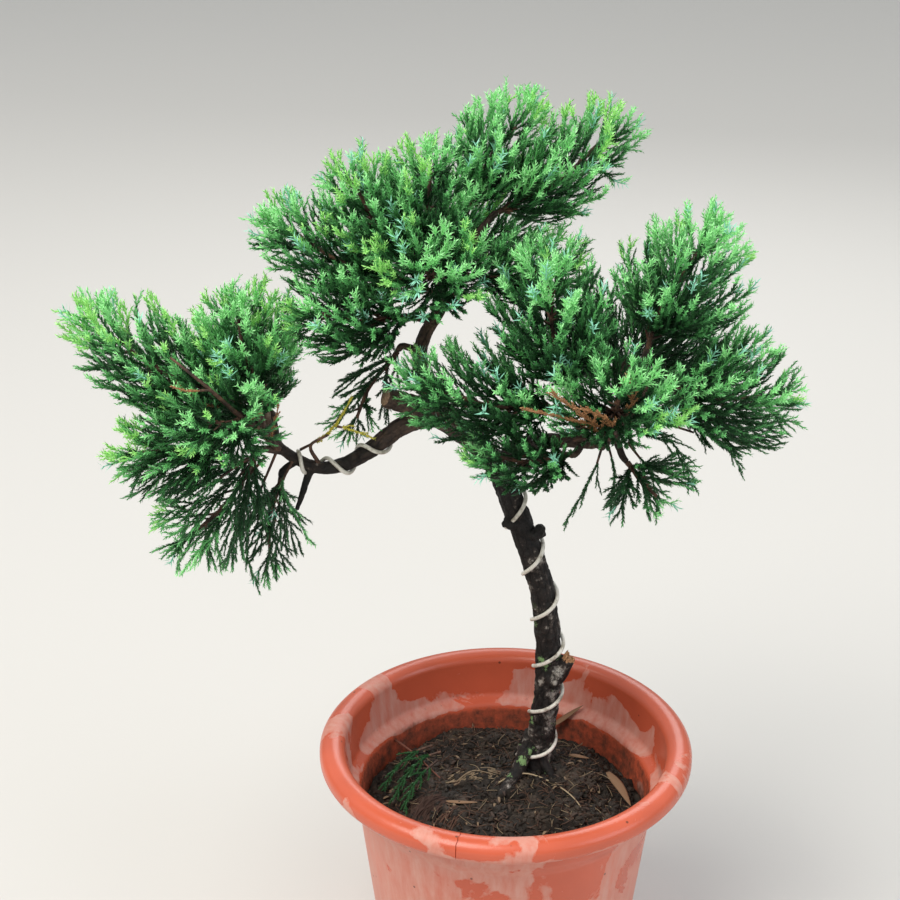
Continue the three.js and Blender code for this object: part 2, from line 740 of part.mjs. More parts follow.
// A mass: its stem, a frond that carries the stem on, and fronds to all sides
function massGeometry(name, seed) {
  const one = masses[name];
  const random = seededRandom(seed);
  const size = Math.sqrt(one.length * one.wide + one.length * one.deep + one.wide * one.deep);
  const targets = [one.tip, ...targetsOf(one, Math.round(size / FROND_SPACING))];
  const fronds = [...stemSamples[name]];
  const blades = targets.flatMap((target) => frondSolid(name, target, fronds, random));
  return geometryOf(fuse([limbSolid(stems[name]), ...blades]));
}

addPiece("pot", potGeometry(), materials.pot);
addPiece("soil", soilGeometry(), materials.soil);
addPiece("trunk", trunkGeometry(), materials.bark);
addPiece("trunk_wire", wireGeometry(trunkWire), materials.wire);
addPiece("bough_wire", wireGeometry(boughWire), materials.wire);
for (const [name, one] of Object.entries(boughs)) {
  const wire = one === boughWire.limb ? boughWire : null;
  addPiece(name, branchGeometry(one, trunk, wire), materials.bark);
}
for (const [name, one] of Object.entries(limbs)) {
  addPiece("limb_" + name, branchGeometry(one, boughs[masses[name].bough]), materials.bark);
}
Object.keys(masses).forEach((name, i) => {
  addPiece("foliage_" + name, massGeometry(name, 101 + i), materials.foliage);
});

export default bonsai;
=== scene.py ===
"""A conifer bonsai: a juniper trained into three clouds of foliage, wired, in a round plastic pot.

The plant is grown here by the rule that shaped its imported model, carried on to finer twigs: a stem in
each mass, twigs from the stem to the mass's skin, sprays from the twigs, shoots from the sprays, and
needles round every shoot. Sizes in the text are millimetres; Blender's own lengths are metres.
"""

import math

import bpy
import numpy as np
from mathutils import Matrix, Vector, kdtree, noise


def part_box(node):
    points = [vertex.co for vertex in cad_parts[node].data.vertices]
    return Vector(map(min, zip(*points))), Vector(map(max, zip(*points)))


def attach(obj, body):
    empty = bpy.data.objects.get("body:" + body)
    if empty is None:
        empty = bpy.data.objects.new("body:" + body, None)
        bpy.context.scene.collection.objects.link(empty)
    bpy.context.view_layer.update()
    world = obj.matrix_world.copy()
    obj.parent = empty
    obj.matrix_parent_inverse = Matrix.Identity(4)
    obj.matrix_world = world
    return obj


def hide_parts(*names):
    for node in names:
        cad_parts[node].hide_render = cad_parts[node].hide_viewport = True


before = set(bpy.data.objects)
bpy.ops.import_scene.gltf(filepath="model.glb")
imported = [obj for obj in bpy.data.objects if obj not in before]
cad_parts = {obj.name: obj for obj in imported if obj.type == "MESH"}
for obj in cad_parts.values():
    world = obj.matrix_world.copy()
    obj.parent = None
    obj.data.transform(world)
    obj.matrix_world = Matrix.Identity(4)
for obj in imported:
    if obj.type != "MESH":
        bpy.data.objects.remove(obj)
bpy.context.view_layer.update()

bl_info = {
    "name": "Conifer Bonsai",
    "version": (1, 0, 0),
    "blender": (4, 5, 0),
    "location": "View3D > Sidebar > Bonsai",
    "description": "Grows a wired juniper bonsai in a plastic pot round its packed model",
    "category": "Add Mesh",
}

MM = 0.001
BODY = "root"
UP = np.array([0.0, 0.0, 1.0])
BACK = np.array([0.0, 1.0, 0.0])
GOLDEN_ANGLE = math.pi * (3 - math.sqrt(5))
NOISE_SEED = 7  # without one the vector noise starts from the clock, and no two runs are alike

# Pot: a rolled lip over a short collar, a ledge inside, and a tapered body
POT_HEIGHT = 195.0
RIM_RADIUS = 125.0
LIP_WIDTH = 17.0
LIP_HEIGHT = 14.0
COLLAR_DEPTH = 37.0
LEDGE_RADIUS = 98.0
BASE_RADIUS = 81.5
POT_WALL = 2.6
POT_FLOOR = 3.0
DRAIN_HOLES = 4
DRAIN_RADIUS = 5.0
DRAIN_CIRCLE = 52.0
LEDGE_LEVEL = POT_HEIGHT - COLLAR_DEPTH
LIP_BOTTOM = POT_HEIGHT - LIP_HEIGHT

# Potting soil
GROUND_LEVEL = 157.0
SOIL_CROWN_RADIUS = 50.0
SOIL_EDGE_LEVEL = 137.0
LUMP_COUNT = 36
LUMP_HEIGHT = 5.5
LUMP_WIDTH = 10.5
EVEN_GROUND = (32.0, 50.0)

# Trunk, boughs and limbs
TRUNK_LENGTH = 345.0
TRUNK_FOOT_RADIUS = 9.2
TRUNK_RADIUS = 8.3
TRUNK_TOP_RADIUS = 6.2
FLARE = 3.6
FLARE_HEIGHT = 14.0
ROOT_COUNT = 4
LIMB_RADIUS = 2.7
LIMB_TIP_RADIUS = 1.9
STRAIGHT_END = 4.0
GAP = 0.3

# Training wire
WIRE_RADIUS = 1.5
TRUNK_WIRE_PITCH = 37.0
BOUGH_WIRE_PITCH = 25.0

# Masses of foliage
STEM_RADIUS = 2.0
STEM_TIP_RADIUS = 1.1
STEM_SHARE = 0.72
TWIG_SPREAD = 44.0
BARE_FOOT = 0.16  # of a twig, from the stem on
BLADE_END = 0.97
SHORTEST_REACH = 0.5
SPRAY_SPREAD = 33.0
FROND_TURN = 65.0
MASS_MIDDLE = 0.55
MASS_HALF_LENGTH = 0.5
OUTERMOST = 1.06
SHARED_EDGE = 6.0  # how far the shoots of two masses reach in among each other


def linear(code):
    """An sRGB hex colour as linear red, green, blue and alpha."""
    channels = [int(code[i : i + 2], 16) / 255 for i in (0, 2, 4)]
    return (*[c / 12.92 if c <= 0.04045 else ((c + 0.055) / 1.055) ** 2.4 for c in channels], 1.0)


def unit(vectors):
    """The same directions, each of length 1."""
    vectors = np.asarray(vectors, float)
    return vectors / np.maximum(np.linalg.norm(vectors, axis=-1, keepdims=True), 1e-9)


def mix(start, end, share):
    return start + (end - start) * share


def dot(a, b):
    """The dot product of rows of vectors."""
    return np.sum(a * b, axis=-1)


def sideways_of(direction):
    """A level direction square to the given one, or X where it is too steep for that."""
    steep = abs(unit(direction)[2]) > 0.8
    return unit(np.cross(direction, (1.0, 0.0, 0.0) if steep else UP))


def turned(vectors, axis, angle):
    """Vectors turned by angle, in radians, about a unit axis."""
    angle = np.asarray(angle)[..., None]
    return (
        vectors * np.cos(angle)
        + np.cross(axis, vectors) * np.sin(angle)
        + axis * dot(axis, vectors)[..., None] * (1 - np.cos(angle))
    )


def square_to(along, reference):
    """Two directions square to each direction, the first as near the reference as it can be."""
    side = unit(reference - dot(along, reference)[..., None] * along)
    return side, np.cross(side, along)


def seeded_random(seed):
    """A row of numbers from 0 to 1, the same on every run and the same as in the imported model."""
    state = seed
    while True:
        state = (state + 0x6D2B79F5) & 0xFFFFFFFF
        t = ((state ^ state >> 15) * (state | 1)) & 0xFFFFFFFF
        t ^= (t + (((t ^ t >> 7) * (t | 61)) & 0xFFFFFFFF)) & 0xFFFFFFFF
        yield (t ^ t >> 14) / 4294967296


class Curve:
    """A Catmull-Rom curve through points, read at shares from 0 to 1."""

    def __init__(self, points):
        inner = np.array(points, float)
        self.spans = len(inner) - 1
        self.points = np.vstack([2 * inner[0] - inner[1], inner, 2 * inner[-1] - inner[-2]])
        self.fine = np.linspace(0, 1, 60 * self.spans + 1)
        steps = np.linalg.norm(np.diff(self.at(self.fine), axis=0), axis=1)
        self.reached = np.concatenate([[0], np.cumsum(steps)])
        self.length = self.reached[-1]

    def at(self, shares):
        place = np.clip(np.asarray(shares, float), 0, 1) * self.spans
        span = np.minimum(place.astype(int), self.spans - 1)
        w = (place - span)[..., None]
        before, start, end, after = (self.points[span + k] for k in range(4))
        leaving = 0.5 * (end - before)
        arriving = 0.5 * (after - start)
        square = 3 * (end - start) - 2 * leaving - arriving
        cube = 2 * (start - end) + leaving + arriving
        return start + leaving * w + square * w**2 + cube * w**3

    def along(self, shares):
        shares = np.asarray(shares, float)
        step = 1e-4
        return unit(self.at(np.minimum(shares + step, 1)) - self.at(np.maximum(shares - step, 0)))

    def by_length(self, shares):
        """The curve's own shares at these shares of its length."""
        return np.interp(np.asarray(shares) * self.length, self.reached, self.fine)


class Limb:
    """A curve with a radius along it, and a girth that foliage is held off by."""

    def __init__(self, points, radius_at, girth=0.0):
        self.curve = Curve(points)
        self.radius_at = radius_at
        self.girth = girth

    def sampled(self, spacing):
        """Evenly spaced shares of the limb, with the points and radii there."""
        count = max(3, round(self.curve.length / spacing) + 1)
        shares = self.curve.by_length(np.linspace(0, 1, count))
        return shares, self.curve.at(shares), self.radius_at(shares)


def tapering(start, end):
    return lambda shares: mix(start, end, np.asarray(shares, float))


# Trunk: leans and bends to the left as it climbs, and ends at a sawn stub
TRUNK_FOOT = (19, 22, GROUND_LEVEL - 6)
WIRE_GIRTH = 2 * WIRE_RADIUS + GAP


def trunk_radius_at(shares):
    shares = np.asarray(shares, float)
    foot = mix(TRUNK_FOOT_RADIUS, TRUNK_RADIUS, np.minimum(1, 3 * shares))
    swell = FLARE * np.exp(-shares * TRUNK_LENGTH / FLARE_HEIGHT)
    return mix(foot, TRUNK_TOP_RADIUS, shares**3) + swell


TRUNK_POINTS = [
    TRUNK_FOOT,
    (25.5, 22, 186),
    (29, 22, 222),
    (28.5, 22, 256),
    (24.5, 21, 290),
    (17, 20, 319),
    (5, 19, 354),
    (-7, 18, 385),
    (-24, 17, 405),
    (-50, 13, 425),
    (-77, 2, 439),
]
trunk = Limb(TRUNK_POINTS, trunk_radius_at, WIRE_GIRTH)

BOUGH_LEFT_POINTS = [
    (-46, 14, 422),
    (-68, 11, 416),
    (-87, 9, 401),
    (-106, 5, 392),
    (-124, 2, 393),
    (-145, -1, 408),
    (-169, -6, 440),
]
BOUGH_TOP_POINTS = [(-38, 15, 418), (-55, 22, 445), (-54, 27, 469), (-42, 32, 491), (-47, 28, 526)]
BOUGH_RIGHT_POINTS = [
    (-8, 18, 385),
    (10, 9, 404),
    (34, -2, 412),
    (57, -8, 415),
    (78, 0, 435),
    (84, 5, 470),
]
boughs = {
    "left": Limb(BOUGH_LEFT_POINTS, tapering(6.4, 2.6), WIRE_GIRTH),
    "top": Limb(BOUGH_TOP_POINTS, tapering(5.8, 2.6)),
    "right": Limb(BOUGH_RIGHT_POINTS, tapering(6, 2.6)),
}


class Mass:
    """A mass of foliage: it grows from a bough's share, out of its root, towards its tip, inside an
    egg of the given half width, level and across, and half depth."""

    def __init__(self, cloud, share, root, tip, wide, deep, curl=0.16):
        self.cloud = cloud
        self.root = np.array(root, float)
        self.tip = np.array(tip, float)
        self.wide = wide
        self.deep = deep
        self.curl = curl
        self.length = np.linalg.norm(self.tip - self.root)
        self.along = unit(self.tip - self.root)
        self.across = sideways_of(self.along)
        self.lift = np.cross(self.across, self.along)
        bough = boughs[cloud]
        self.leaves = self.along
        self.limb = None
        if share == 1:
            self.leaves = bough.curve.along(1)
            self.root = bough.curve.at(1) + GAP * self.leaves
        else:
            end = self.root - GAP * self.along
            straight = end - STRAIGHT_END * self.along
            start = bough.curve.at(share)
            points = [start, mix(start, straight, 0.5), straight, end]
            self.limb = Limb(points, tapering(LIMB_RADIUS, LIMB_TIP_RADIUS))
        self.stem = Limb(self.stem_points(), tapering(STEM_RADIUS, STEM_TIP_RADIUS))

    def stem_points(self):
        end = self.root + STEM_SHARE * self.length * self.along
        start = self.root + STRAIGHT_END * self.leaves
        middle = mix(self.root, end, 0.55) - 0.05 * self.length * self.lift
        return [self.root, start, middle, end]

    def depth_of(self, points):
        """How deep points lie in the egg: 0 at its middle, 1 on its skin, more outside."""
        away = points - self.root
        along = (dot(away, self.along) / self.length - MASS_MIDDLE) / MASS_HALF_LENGTH
        across = dot(away, self.across) / self.wide
        lift = dot(away, self.lift) / self.deep
        return along**2 + across**2 + lift**2

    @property
    def spread(self):
        return 0.5 * (self.wide + self.deep)

    @property
    def size(self):
        sides = self.length * (self.wide + self.deep) + self.wide * self.deep
        return math.sqrt(sides)


masses = {
    "left_tip": Mass("left", 1, (-169, -6, 441), (-266, -14, 500), 42, 34),
    "left_crest": Mass("left", 0.86, (-154, 8, 440), (-172, 14, 506), 58, 40),
    "left_side": Mass("left", 0.93, (-170, -16, 424), (-244, -34, 412), 42, 34, 0),
    "left_fall": Mass("left", 0.8, (-156, -14, 408), (-212, -22, 338), 44, 36, -0.1),
    "left_front": Mass("left", 0.89, (-156, -20, 438), (-186, -74, 452), 44, 32),
    "left_back": Mass("left", 0.83, (-152, 18, 424), (-206, 78, 444), 54, 42),
    "left_skirt": Mass("left", 0.74, (-144, 4, 384), (-156, -4, 314), 26, 22, -0.14),
    "top_left": Mass("top", 0.78, (-64, 26, 506), (-154, 22, 548), 46, 34),
    "top_shoulder": Mass("top", 0.9, (-60, 20, 524), (-106, 12, 586), 42, 34),
    "top_low_left": Mass("top", 0.62, (-64, 14, 488), (-132, -26, 504), 42, 34),
    "top_mid": Mass("top", 1, (-48, 27, 527), (-50, 20, 596), 48, 38),
    "top_front": Mass("top", 0.83, (-44, 14, 516), (-56, -50, 540), 46, 34),
    "top_right": Mass("top", 0.87, (-8, 34, 548), (76, 40, 606), 38, 34),
    "top_crest": Mass("top", 0.95, (-26, 44, 548), (14, 54, 616), 44, 34),
    "top_back": Mass("top", 0.74, (-42, 54, 508), (-44, 118, 544), 74, 42),
    "top_droop": Mass("top", 0.42, (-70, 22, 462), (-106, 12, 404), 26, 22, -0.14),
    "top_low_right": Mass("top", 0.69, (-24, 26, 510), (48, 22, 520), 38, 32),
    "right_left": Mass("right", 0.56, (27, -14, 438), (-68, -46, 468), 42, 34),
    "right_mid": Mass("right", 0.64, (36, -8, 452), (18, -24, 544), 54, 44),
    "right_front": Mass("right", 0.72, (62, -20, 438), (60, -82, 478), 50, 34),
    "right_crest": Mass("right", 1, (84, 5, 471), (122, 4, 556), 56, 44),
    "right_far": Mass("right", 0.86, (92, -6, 450), (176, -20, 446), 52, 42),
    "right_skirt": Mass("right", 0.66, (72, -18, 404), (96, -40, 382), 48, 22, -0.14),
    "right_back": Mass("right", 0.74, (70, 26, 446), (98, 96, 458), 70, 44),
    "right_low": Mass("right", 0.5, (36, -20, 410), (-24, -58, 424), 38, 24),
}


def nodes_of(cloud, kind):
    """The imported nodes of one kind, limb_ or foliage_, that belong to a cloud."""
    return [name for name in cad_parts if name.startswith(kind + cloud + "_")]


# Blender's data


def socket_of(sockets, key):
    """The socket at this place or with this identifier, or else the shown one with this name."""
    if isinstance(key, int):
        return sockets[key]
    for socket in sockets:
        if socket.identifier == key:
            return socket
    return next(s for s in sockets if s.name == key and s.enabled)


def feed(tree, node, inputs):
    """Gives a node's inputs a value, a socket, or a node, whose first shown output they read."""
    for key, value in inputs.items():
        target = socket_of(node.inputs, key)
        if isinstance(value, bpy.types.Node):
            value = next(s for s in value.outputs if s.enabled)
        if isinstance(value, bpy.types.NodeSocket):
            tree.links.new(value, target)
        else:
            target.default_value = value


def add_node(tree, kind, inputs=None, **settings):
    """Adds a node with its settings and its inputs."""
    node = tree.nodes.new(kind)
    for name, value in settings.items():
        setattr(node, name, value)
    feed(tree, node, inputs or {})
    return node


def calculate(tree, operation, *values):
    """A number worked out from values, sockets or nodes."""
    return add_node(tree, "ShaderNodeMath", dict(enumerate(values)), operation=operation)


def ranged(tree, value, start=0.0, end=1.0, low=0.0, high=1.0, **settings):
    """A value that runs from low to high while the given one runs from start to end."""
    inputs = {"Value": value, "From Min": start, "From Max": end, "To Min": low, "To Max": high}
    return add_node(tree, "ShaderNodeMapRange", inputs, **settings)


def object_place(tree):
    """Where a point is in its object."""
    return add_node(tree, "ShaderNodeTexCoord").outputs["Object"]


def attribute_of(tree, name):
    """A number that the mesh carries at its vertices."""
    return add_node(tree, "ShaderNodeAttribute", attribute_name=name).outputs["Fac"]


def noise_at(tree, place, size, detail, roughness=0.5, distortion=0.0):
    """Noise with lumps of a size in metres."""
    inputs = {"Vector": place, "Scale": 1 / size, "Detail": detail, "Roughness": roughness}
    return add_node(tree, "ShaderNodeTexNoise", {**inputs, "Distortion": distortion})


def colour_ramp(tree, value, stops):
    """Colours dealt out by a value. The stops are (value, colour), with a colour or its hex code."""
    node = add_node(tree, "ShaderNodeValToRGB", {"Fac": value})
    elements = node.color_ramp.elements
    while len(elements) < len(stops):
        elements.new(1.0)
    for element, (place, colour) in zip(elements, stops):
        element.position = place
        element.color = linear(colour) if isinstance(colour, str) else colour
    return node


def mix_colours(tree, share, first, second):
    """The first colour where the share is 0, and the second where it is 1."""
    inputs = {"Factor_Float": share, "A_Color": first, "B_Color": second}
    return socket_of(add_node(tree, "ShaderNodeMix", inputs, data_type="RGBA").outputs, "Result_Color")


def shaded_colour(tree, colour, value):
    """A colour made darker or brighter by a value."""
    return add_node(tree, "ShaderNodeHueSaturation", {"Color": colour, "Value": value})


def bumped(tree, height, strength, distance):
    """The normals of a surface with a relief that is a distance in metres deep."""
    return add_node(tree, "ShaderNodeBump", {"Height": height, "Strength": strength, "Distance": distance})


def new_material(name, **shader_inputs):
    """A material with its tree and its Principled shader."""
    material = bpy.data.materials.new(name)
    material.use_nodes = True
    shader = material.node_tree.nodes["Principled BSDF"]
    for key, value in shader_inputs.items():
        shader.inputs[key.replace("_", " ")].default_value = value
    return material, material.node_tree, shader


def new_object(name, data):
    """An object at the origin of the scene that shows data."""
    made = bpy.data.objects.new(name, data)
    bpy.context.scene.collection.objects.link(made)
    return made


def new_mesh(name, points, faces, smooth=True):
    """A mesh object at the origin, from points in millimetres."""
    mesh = bpy.data.meshes.new(name)
    mesh.from_pydata(np.asarray(points) * MM, [], faces)
    if smooth:
        mesh.shade_smooth()
    return new_object(name, mesh)


def joined(parts):
    """Several (points, faces) as one."""
    points = np.vstack([p for p, _ in parts])
    starts = np.cumsum([0] + [len(p) for p, _ in parts])
    faces = [[i + start for i in face] for (_, own), start in zip(parts, starts) for face in own]
    return points, faces


def tube(points, radii, sides, flat=1.0, point=0.5):
    """A closed tube round a line of points, whose end comes to a point that is a share of its radius
    long. A flat tube is thinner one way, down to a leaf."""
    points = np.asarray(points, float)
    along = unit(np.gradient(points, axis=0))
    side, other = square_to(along, sideways_of(points[-1] - points[0]))
    turns = 2 * np.pi * np.arange(sides) / sides
    ring = np.cos(turns)[:, None, None] * side + flat * np.sin(turns)[:, None, None] * other
    rings = (points + ring * np.asarray(radii)[:, None]).transpose(1, 0, 2).reshape(-1, 3)
    count = len(points)
    first = len(rings)
    tip = points[-1] + point * radii[-1] * along[-1]
    faces = []
    for row in range(count - 1):
        for i in range(sides):
            j = (i + 1) % sides
            below = row * sides
            above = below + sides
            faces.append([below + i, above + i, above + j, below + j])
    for i in range(sides):
        j = (i + 1) % sides
        last = (count - 1) * sides
        faces.append([first, i, j])
        faces.append([first + 1, last + j, last + i])
    return np.vstack([rings, points[:1], tip[None]]), faces


def applied(made, name):
    """Turns an object and its modifiers into a plain mesh object of that name, at the origin."""
    graph = bpy.context.evaluated_depsgraph_get()
    mesh = bpy.data.meshes.new_from_object(made.evaluated_get(graph))
    bpy.data.objects.remove(made)
    mesh.name = name
    return new_object(name, mesh)


def copy_of(made):
    """Another object with the same mesh, for a tree to work on."""
    other = made.copy()
    bpy.context.scene.collection.objects.link(other)
    return other


def run_tree(made, tree, name, **inputs):
    """Runs a Geometry Nodes tree on an object, and turns the result into a plain mesh."""
    modifier = made.modifiers.new(tree.name, "NODES")
    modifier.node_group = tree
    for item in tree.interface.items_tree:
        key = item.name.lower().replace(" ", "_")
        if item.item_type == "SOCKET" and item.in_out == "INPUT" and key in inputs:
            modifier[item.identifier] = inputs[key]
    return applied(made, name)


def new_tree(name, inputs):
    """A Geometry Nodes tree with its group input and output. Inputs are (name, kind, default)."""
    tree = bpy.data.node_groups.new(name, "GeometryNodeTree")
    tree.interface.new_socket("Geometry", in_out="INPUT", socket_type="NodeSocketGeometry")
    tree.interface.new_socket("Geometry", in_out="OUTPUT", socket_type="NodeSocketGeometry")
    for label, kind, default in inputs:
        socket = tree.interface.new_socket(label, in_out="INPUT", socket_type="NodeSocket" + kind)
        if default is not None:
            socket.default_value = default
    given = tree.nodes.new("NodeGroupInput").outputs
    result = tree.nodes.new("NodeGroupOutput").inputs[0]
    return tree, given, result


def finish_tree(tree, geometry, given, result):
    """Ends a tree with a geometry that takes the given material."""
    done = add_node(tree, "GeometryNodeSetMaterial", {"Geometry": geometry, "Material": given["Material"]})
    tree.links.new(done.outputs[0], result)
    return tree


def random_vectors(tree, low, high, seed):
    """A vector at each point, between two others."""
    inputs = {"Min": low, "Max": high, "Seed": seed}
    return add_node(tree, "FunctionNodeRandomValue", inputs, data_type="FLOAT_VECTOR").outputs[0]


def random_numbers(tree, low, high, seed):
    """A number at each point, between two others."""
    return add_node(tree, "FunctionNodeRandomValue", {"Min_001": low, "Max_001": high, "Seed": seed})


def placed_on(tree, points, instance, rotation, scale):
    """A copy of an instance on each point."""
    inputs = {"Points": points.outputs["Points"], "Instance": instance}
    return add_node(
        tree, "GeometryNodeInstanceOnPoints", {**inputs, "Rotation": rotation, "Scale": scale}
    )


def scaled(tree, vectors, size):
    return add_node(tree, "ShaderNodeVectorMath", {0: vectors, "Scale": size}, operation="SCALE")


def compared(tree, operation, first, second):
    """Whether one number is less or greater than another."""
    inputs = {"A": first, "B": second}
    return add_node(tree, "FunctionNodeCompare", inputs, data_type="FLOAT", operation=operation)


def poly_curves(name, lines, radii):
    """A curve object of straight-sided splines through lines of points, with a radius at each."""
    data = bpy.data.curves.new(name, "CURVE")
    data.dimensions = "3D"
    for points, sizes in zip(lines, radii):
        spline = data.splines.new("POLY")
        spline.points.add(len(points) - 1)
        placed = np.ones((len(points), 4))
        placed[:, :3] = np.asarray(points) * MM
        spline.points.foreach_set("co", placed.ravel())
        spline.points.foreach_set("radius", np.asarray(sizes, float))
    return new_object(name, data)


def finish_piece(piece, slot, *nodes):
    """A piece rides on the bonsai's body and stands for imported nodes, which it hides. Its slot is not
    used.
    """
    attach(piece, BODY)
    if nodes:
        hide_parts(*nodes)


# Sizes and colours a user would change


def length_property(name, description, default):
    kind = {"unit": "LENGTH", "precision": 5, "min": 0.0}
    return bpy.props.FloatProperty(name=name, description=description, default=default * MM, **kind)


def colour_property(name, description, code):
    kind = {"size": 4, "subtype": "COLOR", "min": 0, "max": 1}
    return bpy.props.FloatVectorProperty(name=name, description=description, default=linear(code), **kind)


class PotSettings(bpy.types.PropertyGroup):
    wet: colour_property("Wet Plastic", "Colour where water has darkened the plastic", "c75c40")
    dry: colour_property("Dry Plastic", "Colour of the chalky film where the plastic is dry", "d39c8d")
    mud_and_shade: colour_property("Mud", "Colour of the soil that is splashed on the wall", "4a2f22")
    blotch: length_property("Blotch Size", "Size of the wet and dry blotches", 46)
    crack: length_property("Crack Width", "Width of the hairline crack through the lip", 0.5)


class SoilSettings(bpy.types.PropertyGroup):
    colour: colour_property("Soil", "Colour of the damp potting soil", "241e18")
    pale: colour_property("Dry Crumbs", "Colour of the drier crumbs and fibres", "50443a")
    clod: length_property("Clod Size", "Size of the clods that the surface is made of", 11)
    relief: length_property("Relief", "How far the clods stand out", 4.2)
    crumb: length_property("Crumb Size", "Radius of the largest loose crumb", 3.8)
    crumbs: bpy.props.IntProperty(
        name="Crumbs", description="Loose crumbs on each square decimetre", default=900, min=0
    )
    fibres: bpy.props.IntProperty(
        name="Fibres", description="Root fibres on each square decimetre", default=360, min=0
    )


class BarkSettings(bpy.types.PropertyGroup):
    dark: colour_property("Bark", "Colour of the damp bark of the trunk", "161311")
    brown: colour_property("Bough Bark", "Colour of the drier bark of the boughs", "54443a")
    grey: colour_property("Weathered Patches", "Colour of the grey patches on the trunk", "9b968e")
    plate: length_property("Plate Size", "Width of the plates that the bark cracks into", 4.2)
    relief: length_property("Relief", "Depth of the cracks between the plates", 1.0)
    voxel: length_property("Mesh Spacing", "Size of the faces that carry the relief", 0.8)


class WireSettings(bpy.types.PropertyGroup):
    radius: length_property("Radius", "Half the width of the wire with its coating", 1.3)
    colour: colour_property("Wire", "Colour of the wire's coating", "d9d4c8")
    grime: colour_property("Grime", "Colour of the dirt in the coating", "8d8474")
    sides: bpy.props.IntProperty(name="Sides", description="Faces round the wire", default=14, min=3)


class FoliageSettings(bpy.types.PropertyGroup):
    twig_spacing: length_property("Twig Spacing", "The size of a mass for each of its twigs", 2.7)
    spray_spacing: length_property("Spray Spacing", "Distance between the sprays along a twig", 5.2)
    spray_length: length_property("Spray Length", "Length of the longest spray", 36)
    shoot_spacing: length_property("Shoot Spacing", "Distance between the shoots along a spray", 5.0)
    shoot_length: length_property("Shoot Length", "Length of the longest shoot", 9.5)
    needle_spacing: length_property("Needle Spacing", "Distance along a shoot between needles", 0.52)
    needle_length: length_property("Needle Length", "Length of a grown needle", 3.3)
    needle_width: length_property("Needle Width", "Width of a grown needle", 1.2)
    needle_spread: bpy.props.FloatProperty(
        name="Needle Spread",
        description="Angle between a grown needle and its shoot",
        default=math.radians(35),
        subtype="ANGLE",
    )
    seed: bpy.props.IntProperty(name="Seed", description="Another number grows another tree", default=7)


class StageSettings(bpy.types.PropertyGroup):
    lens: bpy.props.FloatProperty(
        name="Lens", description="Focal length on a 36 mm sensor", default=70, unit="CAMERA"
    )
    pitch: bpy.props.FloatProperty(
        name="Pitch",
        description="How far the camera looks down",
        default=math.radians(23.3),
        subtype="ANGLE",
    )
    place: bpy.props.FloatVectorProperty(
        name="Camera",
        description="Where the camera stands",
        default=(-37.3 * MM, -1005.7 * MM, 837.7 * MM),
        subtype="TRANSLATION",
        unit="LENGTH",
    )
    floor: colour_property("Floor", "Colour of the floor", "cdcbc7")


SETTINGS = {
    "bonsai_pot": PotSettings,
    "bonsai_soil": SoilSettings,
    "bonsai_bark": BarkSettings,
    "bonsai_wire": WireSettings,
    "bonsai_foliage": FoliageSettings,
    "bonsai_stage": StageSettings,
}


# Pot


def rounded(outline, radius, steps=4):
    """An outline with its corners rounded, but for its two ends."""
    outline = np.asarray(outline, float)
    points = [outline[0]]
    for before, corner, after in zip(outline, outline[1:], outline[2:]):
        reach = [min(radius, 0.45 * np.linalg.norm(end - corner)) for end in (before, after)]
        start = corner + reach[0] * unit(before - corner)
        end = corner + reach[1] * unit(after - corner)
        for share in np.linspace(0, 1, steps + 1):
            points.append(mix(mix(start, corner, share), mix(corner, end, share), share))
    return np.array([*points, outline[-1]])


def pot_outline():
    """The pot's section as radius and height, from the middle of its underside round to its floor."""
    lip_inner = RIM_RADIUS - LIP_WIDTH
    outside = [
        (0, 0),
        (BASE_RADIUS, 0),
        (LEDGE_RADIUS + POT_WALL, LEDGE_LEVEL - POT_WALL),
        (lip_inner - POT_WALL, LEDGE_LEVEL + 2 * POT_WALL),
        (lip_inner + POT_WALL, LIP_BOTTOM + 2),
        (RIM_RADIUS - 2, LIP_BOTTOM),
        (RIM_RADIUS, LIP_BOTTOM + 3),
        (RIM_RADIUS, POT_HEIGHT - LIP_HEIGHT / 2),
    ]
    turns = np.linspace(0, np.pi, 25)[1:]
    roll = np.column_stack(
        [
            RIM_RADIUS - LIP_WIDTH / 2 * (1 - np.cos(turns)),
            POT_HEIGHT - LIP_HEIGHT / 2 * (1 - np.sin(turns)),
        ]
    )
    inside = [
        roll[-1],
        (lip_inner - 3, LEDGE_LEVEL + 6),
        (LEDGE_RADIUS + 1, LEDGE_LEVEL + 1),
        (LEDGE_RADIUS, LEDGE_LEVEL - 2),
        (BASE_RADIUS - POT_WALL, POT_FLOOR),
        (0, POT_FLOOR),
    ]
    return np.vstack([rounded(outside, 2.2), roll[:-1], rounded(inside, 2.2)])


POT_COLUMNS = 168
CRACK_ANGLE = math.radians(-105.7)
CRACK_DEPTH = 1.5
CRACK_ROOM = math.radians(1.2)
# How dry the plastic is all over, and what the outer wall, the inner wall, the inner wall below the ledge
# and the front of the lip, which has fewer dry blotches, add to that. Below the ledge the inner wall is
# made
# wetter and so darker: painted shade down in the pot.
DRYNESS = 0.402
OUTER_WALL_DRYNESS = 0.19
INNER_WALL_DRYNESS = 0.21
LOW_WALL_PAINTED_SHADE = -0.22
FRONT_LIP_DRYNESS = -0.045


